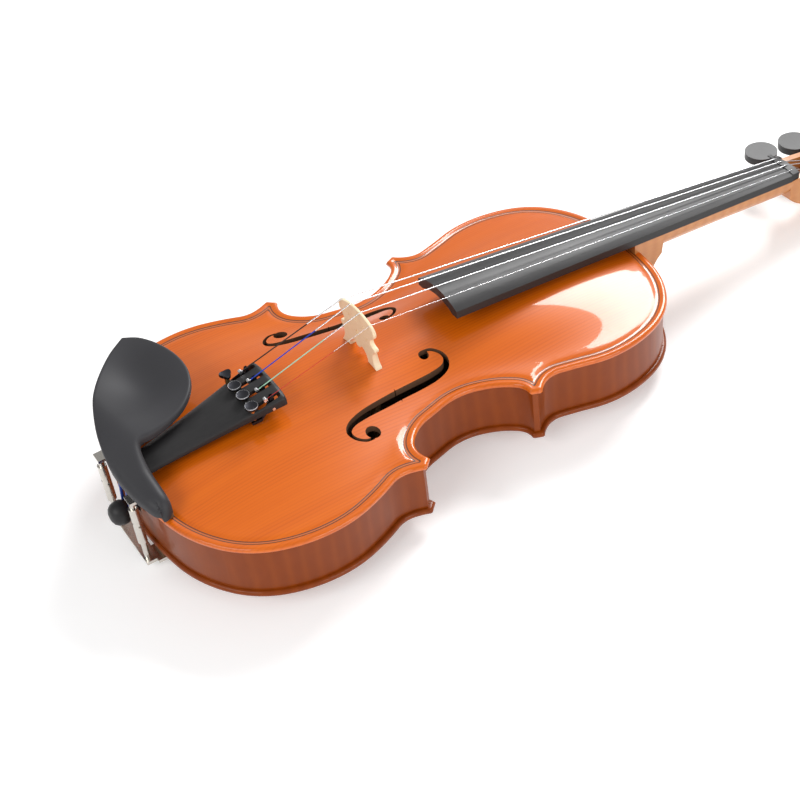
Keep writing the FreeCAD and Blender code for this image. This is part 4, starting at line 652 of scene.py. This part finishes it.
# The treble side from the crown's end to the middle of the arch, in millimetres.
BRIDGE_SIDE = [(19.3, 89.2), (19.9, 86.8), (19.2, 84.2), (17.0, 82.2), (15.0, 80.0), (14.9, 77.6),
               (16.6, 76.2), (18.9, 75.6), (19.4, 74.0), (18.0, 72.4), (16.4, 70.2), (16.3, 67.0),
               (17.3, 63.6), (18.9, 61.2)]
BRIDGE_ARCH = [(10.3, 61.4), (9.9, 64.0), (8.3, 66.6), (5.6, 68.6), (3.1, 69.0), (2.6, 67.6), (1.3, 66.6),
               (0, 66.5)]
BRIDGE_HOLES = [(0, 86, 0.85), (-7.7, 86, 0.85), (7.7, 86, 0.85), (-10.8, 78.6, 0.95), (10.8, 78.6, 0.95),
                (0, 77.6, 1.5)]


def arch_level(x):
    places = np.asarray(x, float)
    return TOP_EDGE + TOP_ARCH * arch_share(places, np.full(places.shape, BRIDGE_LINE), ARCH_INSET)


crown = [(x, BRIDGE_CROWN - BRIDGE_RADIUS + math.sqrt(BRIDGE_RADIUS ** 2 - x * x))
         for x in np.linspace(0, CROWN_HALF, 16)]
sole = [(x, float(arch_level(x)) + FOOT_GAP) for x in np.linspace(FOOT_OUTER, FOOT_INNER, 12)]
right_side = crown + list(smooth_run(BRIDGE_SIDE, 5) / 1000) + sole + list(smooth_run(BRIDGE_ARCH, 5) / 1000)
right_side = np.array(right_side)
bridge_outline = np.vstack([right_side, right_side[-2:0:-1] * [-1, 1]])[::-1]
turns = np.arange(20) * math.pi / 10
bridge_holes = [np.stack([x + radius * np.cos(turns), z + radius * np.sin(turns)], 1)
                for x, z, radius in np.array(BRIDGE_HOLES) / 1000]
points, triangles, edge = plate_triangles(bridge_outline, (0.00012, 0.0003, 0.0006), 0.0011, bridge_holes)
up = (points[:, 1] - points[:, 1].min()) / (points[:, 1].max() - points[:, 1].min())
thick = BRIDGE_FOOT_THICK + (BRIDGE_TOP_THICK - BRIDGE_FOOT_THICK) * up ** BRIDGE_TAPER
eased_edge = rounded_edge(edge, BRIDGE_EASE)
bridge = slab("carved_bridge", points, triangles, thick / 2 - eased_edge, -thick / 2 + eased_edge, edge)
bridge.data.transform(Matrix.Translation((0, BRIDGE_LINE, 0)) @ Matrix.Rotation(math.pi / 2, 4, "X"))
fit_piece(bridge, white_maple, "bridge_maple", "root", "bridge")

# ---- Strings
# Steel strings, three of them wound, with silk wrapped round the ends at the tailpiece in the colour
# of each string. The last turns are wound on the pegs.

SILK_END = -0.1535
BALL_LENGTH = 0.0028
SILKS = {"g": (0.035, 0.018, 0.012), "d": (0.015, 0.05, 0.42), "a": (0.35, 0.62, 0.45),
         "e": (0.55, 0.02, 0.02)}
for string, silk in SILKS.items():
    wire = Finish(f"{string}_string_finish", (0.75, 0.75, 0.76), Metallic=1.0)
    ball_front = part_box(f"{string}_string")[0].y + BALL_LENGTH
    bare_wire = wire.along("Y").above(SILK_END) + (1 - wire.along("Y").above(ball_front))
    handled = wire.noise(90, (1, 0.3, 1), 3)
    steel = wire.mix(handled, (0.70, 0.70, 0.72), (0.86, 0.86, 0.87))
    wire.feed(Base_Color=wire.mix(bare_wire, silk, steel), Metallic=bare_wire,
              Roughness=0.75 - bare_wire * 0.48)
    wire.bump(handled, 0.00002, 0.2)
    dress(wire, f"{string}_string", f"{string}_winding")


# ---- Metal fittings
# The chinrest's clamp and the tuners' axle are nickel-plated steel, the tuner screws are brass, and
# their levers are cast and painted black. All are fastened by their own threads.


def metal(name, color, roughness, worn_color):
    """Plated or turned metal with fine scratches and duller patches."""
    finish = Finish(name, color, Metallic=1.0)
    scratches = finish.noise(500, (1, 0.06, 1), 2)
    dull = finish.noise(120, (1, 1, 1), 3)
    finish.feed(Base_Color=finish.mix(dull, color, worn_color), Roughness=roughness + scratches * 0.16)
    finish.bump(scratches, 0.00002, 0.2)
    return finish


nickel = metal("nickel_finish", (0.74, 0.71, 0.66), 0.16, (0.60, 0.57, 0.52))
brass = metal("brass_finish", (0.68, 0.46, 0.20), 0.22, (0.50, 0.33, 0.14))
black_metal = metal("black_metal_finish", (0.035, 0.036, 0.042), 0.28, (0.06, 0.06, 0.07))
dress(nickel, "clamp_hooks", "clamp_barrel_bass", "clamp_barrel_treble", "clamp_foot", "tuner_axle")
dress(brass, *(f"{string}_tuner_shank" for string in STRINGS))
dress(black_metal, *(f"{string}_tuner_lever" for string in STRINGS))

# ---- Tailgut
# A loop of blue plastic cord, threaded through the tailpiece, over the saddle and round the end button.

gut = Finish("blue_gut_finish", (0.01, 0.03, 0.20), Roughness=0.35, Coat_Weight=0.3)
strands = gut.noise(300, (1, 0.3, 1), 3)
gut.feed(Base_Color=gut.mix(strands, (0.006, 0.022, 0.16), (0.02, 0.06, 0.34)))
gut.bump(strands, 0.0001, 0.4)
dress(gut, "tailgut")

# ---- Cork pads
# Thin pads of cork, glued under the chinrest and on the clamp's foot so that neither marks the varnish.

cork = Finish("cork_finish", (0.45, 0.27, 0.14), Roughness=0.9)
grains = cork.noise(900, (1, 1, 1), 4)
cork.feed(Base_Color=cork.mix(grains, (0.06, 0.03, 0.015), (0.20, 0.11, 0.05)))
cork.bump(grains, 0.0002, 0.6)
dress(cork, "chinrest_cork", "clamp_foot_cork")

# ---- Chinrest
# Carved from one block of black hardwood and rubbed dull: a dished cup beside the tailpiece, and an
# arm that arches over its narrow end. Two feet on cork stand on the edge of the top.

REST_PLAN = [(-84.4, 42.4), (-78, 50.8), (-66, 57.6), (-50, 61.8), (-34, 61.6), (-19, 56.2), (-8, 46.5),
             (-2, 34), (0.8, 22.2), (1.6, 13.8), (8, 11.2), (20, 10.6), (33, 11), (41.5, 10.2), (45, 5.5),
             (42.5, 0.8), (34, -2.8), (22, -5.5), (10, -7), (-2, -7), (-18, -4.2), (-36, 1.8), (-50, 8.3),
             (-64, 17.9), (-76, 29.6)]
REST_FEET = [((-46, 4), (-19.5, 19)), ((19.5, 4), (42, 17))]
CUP_LEVEL = 0.080
ARM_LEVEL = 0.0655
ARM_UNDER = 0.0600
CUP_UNDER = 0.0665
FOOT_LEVEL = 0.0535
DISH_PLACE = (-0.042, 0.034)
DISH_REACH = (0.028, 0.020)
DISH_DEPTH = 0.0085
LIP_ROUND = 0.0013
ARM_ROUND = 0.0068
TAIL_ROUND = 0.0036
TAIL_LINE = 0.003
LIP_THICK = 0.0034
LEAST_WALL = 0.0010
BOWL_STEEPNESS = 1.25
ROUND_SHARE = 0.92
ARM_START = -0.020
ARM_RUN = 0.066
CREASE_PLACE = 0.0135
CREASE_SLANT = 0.12
CREASE_RUN = 0.018
CREASE_FALL = 0.0052
DROOP_START = 0.034
DROOP_RUN = 0.011
DROOP_FALL = 0.0045


def rest_loop(rows, steps):
    run = smooth_run(rows[-2:] + rows + rows[:2], steps)[2 * steps:-2 * steps - 1] / 1000
    return (run + [0, TAIL])[::-1]


rest_outline = rest_loop(REST_PLAN + [REST_PLAN[0]], 10)
foot_loops = []
for (x0, y0), (x1, y1) in REST_FEET:
    for grow in (0, 0.4):
        left, right, near, far = x0 - grow, x1 + grow, y0 - grow, y1 + grow
        corner = np.array([(left, near), (right, near), (right, far), (left, far)])
        sides = [corner[k] + (corner[(k + 1) % 4] - corner[k]) * t
                 for k in range(4) for t in np.arange(12) / 12]
        foot_loops.append(np.array(sides) / 1000 + [0, TAIL])
rest_rings = (0.0002, 0.0006, 0.0013, 0.0022, 0.0034, 0.005, 0.0068)
points, triangles, edge = plate_triangles(rest_outline, rest_rings, 0.0017, (), foot_loops)
x, y = points[:, 0], points[:, 1] - TAIL
into_arm = 0.5 - 0.5 * np.cos(np.pi * np.clip((x - ARM_START) / ARM_RUN, 0, 1))
level = CUP_LEVEL + (ARM_LEVEL - CUP_LEVEL) * into_arm
off_dish = ((x - DISH_PLACE[0]) / DISH_REACH[0], (y - DISH_PLACE[1]) / DISH_REACH[1])
level -= DISH_DEPTH * np.exp(-off_dish[0] ** 2 - off_dish[1] ** 2)
crease = CREASE_PLACE + CREASE_SLANT * np.minimum(x, 0)
beyond = np.clip((crease - y) / CREASE_RUN, 0, 1.4)
level -= CREASE_FALL * beyond ** 1.8
lip = LIP_ROUND + (ARM_ROUND - LIP_ROUND) * np.clip((x + 0.004) / 0.022, 0, 1)
lip = np.where(y < TAIL_LINE, np.minimum(lip, TAIL_ROUND), lip)
droop = np.clip((x - DROOP_START) / DROOP_RUN, 0, 1) ** 2 * DROOP_FALL
rest_top = level - rounded_edge(edge, lip) * ROUND_SHARE - droop
flat_under = np.where(x < 0.0, CUP_UNDER, ARM_UNDER - np.clip((x - 0.015) / 0.012, 0, 1) * 0.0045)
bowl = rest_top - LIP_THICK - edge * BOWL_STEEPNESS + 0.0012 * (edge < 0.0002)
rest_under = np.minimum(np.maximum(bowl, flat_under), rest_top - LEAST_WALL)
for loop in foot_loops[::2]:
    inside = inside_loop(points, loop) | (edge_distance(points, loop) < 1e-5)
    rest_under = np.where(inside, FOOT_LEVEL, rest_under)
rest = slab("rest_cup_and_arm", points, triangles, rest_top, rest_under, edge)
dull_black = blackened_wood("chinrest_finish", "X", 0.46, (0.026, 0.026, 0.030), (0.042, 0.042, 0.048))
fit_piece(rest, dull_black, "blackened_wood", "root", "chinrest")

# ---- Tailpiece
# A black moulding that holds the strings: rounded on top and hollow below, narrow where the gut loop
# pulls it, and wide towards the bridge, where four slots take the levers of the fine tuners.

PIECE_START = TAIL + 0.008
PIECE_END = TAIL + 0.098
PIECE_NARROW = 0.0095
PIECE_WIDE = 0.0205
PIECE_LEVEL = (0.0635, 0.0760)
PIECE_DEPTH = 0.0072
PIECE_WALL = 0.0024
SLOTS = (-0.0153, -0.0051, 0.0051, 0.0153)
SLOT_HALF = 0.0019
SLOT_NEAR = 0.0044
SLOT_FAR = 0.0165
PIECE_ROUND = 0.0012
PIECE_RIM = 0.0025
END_RUN = 0.0035
END_FALL = 0.0016
THINNEST = 0.0004


def piece_half(y):
    share = np.clip((y - PIECE_START) / (PIECE_END - PIECE_START), 0, 1)
    return PIECE_NARROW + (PIECE_WIDE - PIECE_NARROW) * (0.72 * share + 0.28 * share ** 2)


rows = np.linspace(PIECE_START, PIECE_END, 91)
right = [(piece_half(y), y) for y in rows[2:-2]]
wide_end = [(piece_half(PIECE_END) * u, PIECE_END - PIECE_ROUND + PIECE_ROUND * (1 - abs(u) ** 6))
            for u in np.linspace(0.97, -0.97, 40)]
narrow_end = [(PIECE_NARROW * u, PIECE_START + 0.0022 * abs(u) ** 3) for u in np.linspace(-0.97, 0.97, 20)]
left = [(-x, y) for x, y in right[::-1]]
piece_outline = np.array(right + wide_end + left + narrow_end)
slot_loops = []
turns = np.linspace(0, math.pi, 9)
for place in SLOTS:
    near = [(place + SLOT_HALF * math.cos(t), PIECE_END - SLOT_NEAR + SLOT_HALF * math.sin(t)) for t in turns]
    far = [(place - SLOT_HALF * math.cos(t), PIECE_END - SLOT_FAR - SLOT_HALF * math.sin(t)) for t in turns]
    slot_loops.append(np.array(near + far))
piece_rings = (0.0003, 0.0008, 0.0015, 0.0024, 0.0026, 0.0036)
points, triangles, edge = plate_triangles(piece_outline, piece_rings, 0.0012, slot_loops)
x, y = points[:, 0], points[:, 1]
share = (y - PIECE_START) / (PIECE_END - PIECE_START)
crown = PIECE_LEVEL[0] + (PIECE_LEVEL[1] - PIECE_LEVEL[0]) * share
side = np.clip(np.abs(x) / piece_half(y), 0, 1)
fall = (0.0062 - 0.0044 * share) * side ** (2.2 + 0.5 * share)
end_fall = END_FALL * np.clip(1 - (PIECE_END - y) / END_RUN, 0, 1) ** 2
piece_top = crown - fall - rounded_edge(edge, PIECE_ROUND) - end_fall
piece_under = np.where(edge < PIECE_RIM, crown - PIECE_DEPTH, piece_top - PIECE_WALL)
piece_under = np.minimum(piece_under, piece_top - THINNEST)
tailpiece = slab("moulded_tailpiece", points, triangles, piece_top, piece_under, edge)
moulding = blackened_wood("black_moulding_finish", "Y", 0.38)
fit_piece(tailpiece, moulding, "black_moulding", "root", "tailpiece")

# ---- Fine tuners
# Each string ends on a lever that rocks on one steel axle. A brass screw with a black knurled head
# pushes the lever, and the head of the lowest string is a three-lobed key that stands higher.


def turned(profile, place, axis, steps, lobes=0, depth=0.0):
    """A lathe-turned shape from (radius, height) rows, on its axis at a place, lobed if asked."""
    mesh = bmesh.new()
    row = [mesh.verts.new((radius, 0, height)) for radius, height in profile]
    run = [mesh.edges.new(pair) for pair in zip(row, row[1:])]
    bmesh.ops.spin(mesh, geom=row + run, cent=(0, 0, 0), axis=(0, 0, 1), angle=2 * math.pi, steps=steps,
                   use_merge=True)
    widest = max(radius for radius, height in profile)
    for vertex in mesh.verts:
        turn = math.atan2(vertex.co.y, vertex.co.x)
        radius = math.hypot(vertex.co.x, vertex.co.y)
        pull = 1 - depth * (0.5 - 0.5 * math.cos(lobes * turn)) * (radius / widest) ** 3
        vertex.co.x *= pull
        vertex.co.y *= pull
    bmesh.ops.remove_doubles(mesh, verts=mesh.verts, dist=1e-6)
    bmesh.ops.recalc_face_normals(mesh, faces=mesh.faces)
    turn = {"Y": Matrix.Rotation(-math.pi / 2, 4, "X"), "Z": Matrix.Identity(4)}[axis]
    bmesh.ops.transform(mesh, matrix=Matrix.Translation(place) @ turn, verts=mesh.verts)
    return mesh


def node_middle(node):
    low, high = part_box(node)
    return (low + high) / 2, high - low


HEAD_RADIUS = 0.0041
RIM_START = HEAD_RADIUS * 0.88
# From the dished top to the flat underside: share of the radius, share of half the height.
HEAD_SHARES = [(0, 0.55), (0.55, 0.66), (0.86, 0.95), (0.94, 1), (1, 0.55), (1, -0.55), (0.92, -1),
               (0.5, -1), (0, -1)]
rim_steel = metal("tuner_rim_finish", (0.62, 0.62, 0.64), 0.22, (0.40, 0.40, 0.42))
for string in STRINGS:
    middle, span = node_middle(f"{string}_tuner_head")
    half = span.z / 2
    key = string == "g"
    profile = [(HEAD_RADIUS * out, half * up) for out, up in HEAD_SHARES]
    mesh = turned(profile, middle, "Z", 96, 3 if key else 24, 0.34 if key else 0.045)
    for face in mesh.faces:
        place = face.calc_center_median() - middle
        if not key and place.z > half * 0.5 and math.hypot(place.x, place.y) > RIM_START:
            face.material_index = 1
    head = finished(f"{string}_turning_head", mesh, 50)
    fit_piece(head, black_metal, "black_metal", f"{string}_tuner_head", f"{string}_tuner_head")
    head.data.materials.append(rim_steel.material)

# ---- End button
# Turned from black hardwood and pushed into a tapered hole in the tail block, where the gut pulls on it.

low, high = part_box("end_button")
middle = Vector((0, 0, (low.z + high.z) / 2))
widest = (high.x - low.x) / 2
collar = TAIL - 0.0005
SHANK_WIDE = 0.0034
SHANK_NARROW = 0.0028
neck = collar - low.y
shank_end = high.y - low.y
rounding = [(0, 0), (0.35, 0.0002), (0.66, 0.0012), (0.88, 0.0032), (0.99, 0.0062), (0.97, 0.0088),
            (0.84, 0.0108), (0.66, 0.0120), (0.62, 0.0128), (0.70, neck - 0.0012), (0.74, neck)]
profile = [(widest * share, reach) for share, reach in rounding]
profile += [(SHANK_WIDE, neck), (SHANK_NARROW, shank_end), (0, shank_end)]
mesh = turned(profile, Vector((0, low.y, middle.z)), "Y", 64)
button = finished("turned_end_button", mesh, 60)
fit_piece(button, blackened_wood("button_finish", "Y", 0.38), "blackened_wood", "root", "end_button")

# ---- Camera, floor and lights
# The violin lies on a white table top under one large soft window and two weaker ones.

FLOOR_SIZE = 6.0
mesh = bmesh.new()
bmesh.ops.create_grid(mesh, x_segments=12, y_segments=12, size=FLOOR_SIZE / 2)
floor = finished("table_top", mesh)
paper = Finish("table_top_finish", (0.80, 0.80, 0.80), Roughness=0.6)
paper.feed(Base_Color=paper.mix(paper.noise(2), (0.86, 0.86, 0.86), (0.84, 0.84, 0.84)))
paper.shader.inputs["Emission Color"].default_value = (1, 1, 1, 1)
paper.shader.inputs["Emission Strength"].default_value = 0.30
floor.data.materials.append(paper.material)
floor.data.transform(Matrix.Translation((0, 0, -0.0005)))


def window(name, place, target, size, power):
    """A soft rectangular light."""
    light = bpy.data.lights.new(name, "AREA")
    light.shape = "RECTANGLE"
    light.size, light.size_y = size
    light.energy = power
    holder = bpy.data.objects.new(name, light)
    holder.location = place
    holder.rotation_euler = (Vector(target) - Vector(place)).to_track_quat("-Z", "Y").to_euler()
    bpy.context.scene.collection.objects.link(holder)


window("main_window", (-0.75, 1.15, 1.25), (0, 0.1, 0.05), (0.9, 0.7), 34)
window("side_window", (1.7, 0.3, 0.8), (0, 0.05, 0.03), (1.1, 0.7), 12)
window("front_window", (0.4, -1.7, 1.3), (0, 0, 0.05), (1.4, 0.8), 16)

world = bpy.data.worlds.new("room")
world.use_nodes = True
world.node_tree.nodes["Background"].inputs[0].default_value = (1, 1, 1, 1)
world.node_tree.nodes["Background"].inputs[1].default_value = 0.42
bpy.context.scene.world = world
bpy.context.scene.view_settings.view_transform = "Standard"

camera = bpy.data.cameras.new("photographer")
camera.lens = 70.28
camera.sensor_width = 36
camera_holder = bpy.data.objects.new("photographer", camera)
AZIMUTH, TILT, ROLL = (math.radians(angle) for angle in (63.164, 48.236, -7.899))
camera_turn = Matrix.Rotation(AZIMUTH, 4, "Z") @ Matrix.Rotation(TILT, 4, "X") @ Matrix.Rotation(ROLL, 4, "Z")
camera_holder.matrix_world = Matrix.Translation((0.6437, -0.4334, 0.6552)) @ camera_turn
bpy.context.scene.collection.objects.link(camera_holder)
bpy.context.scene.camera = camera_holder
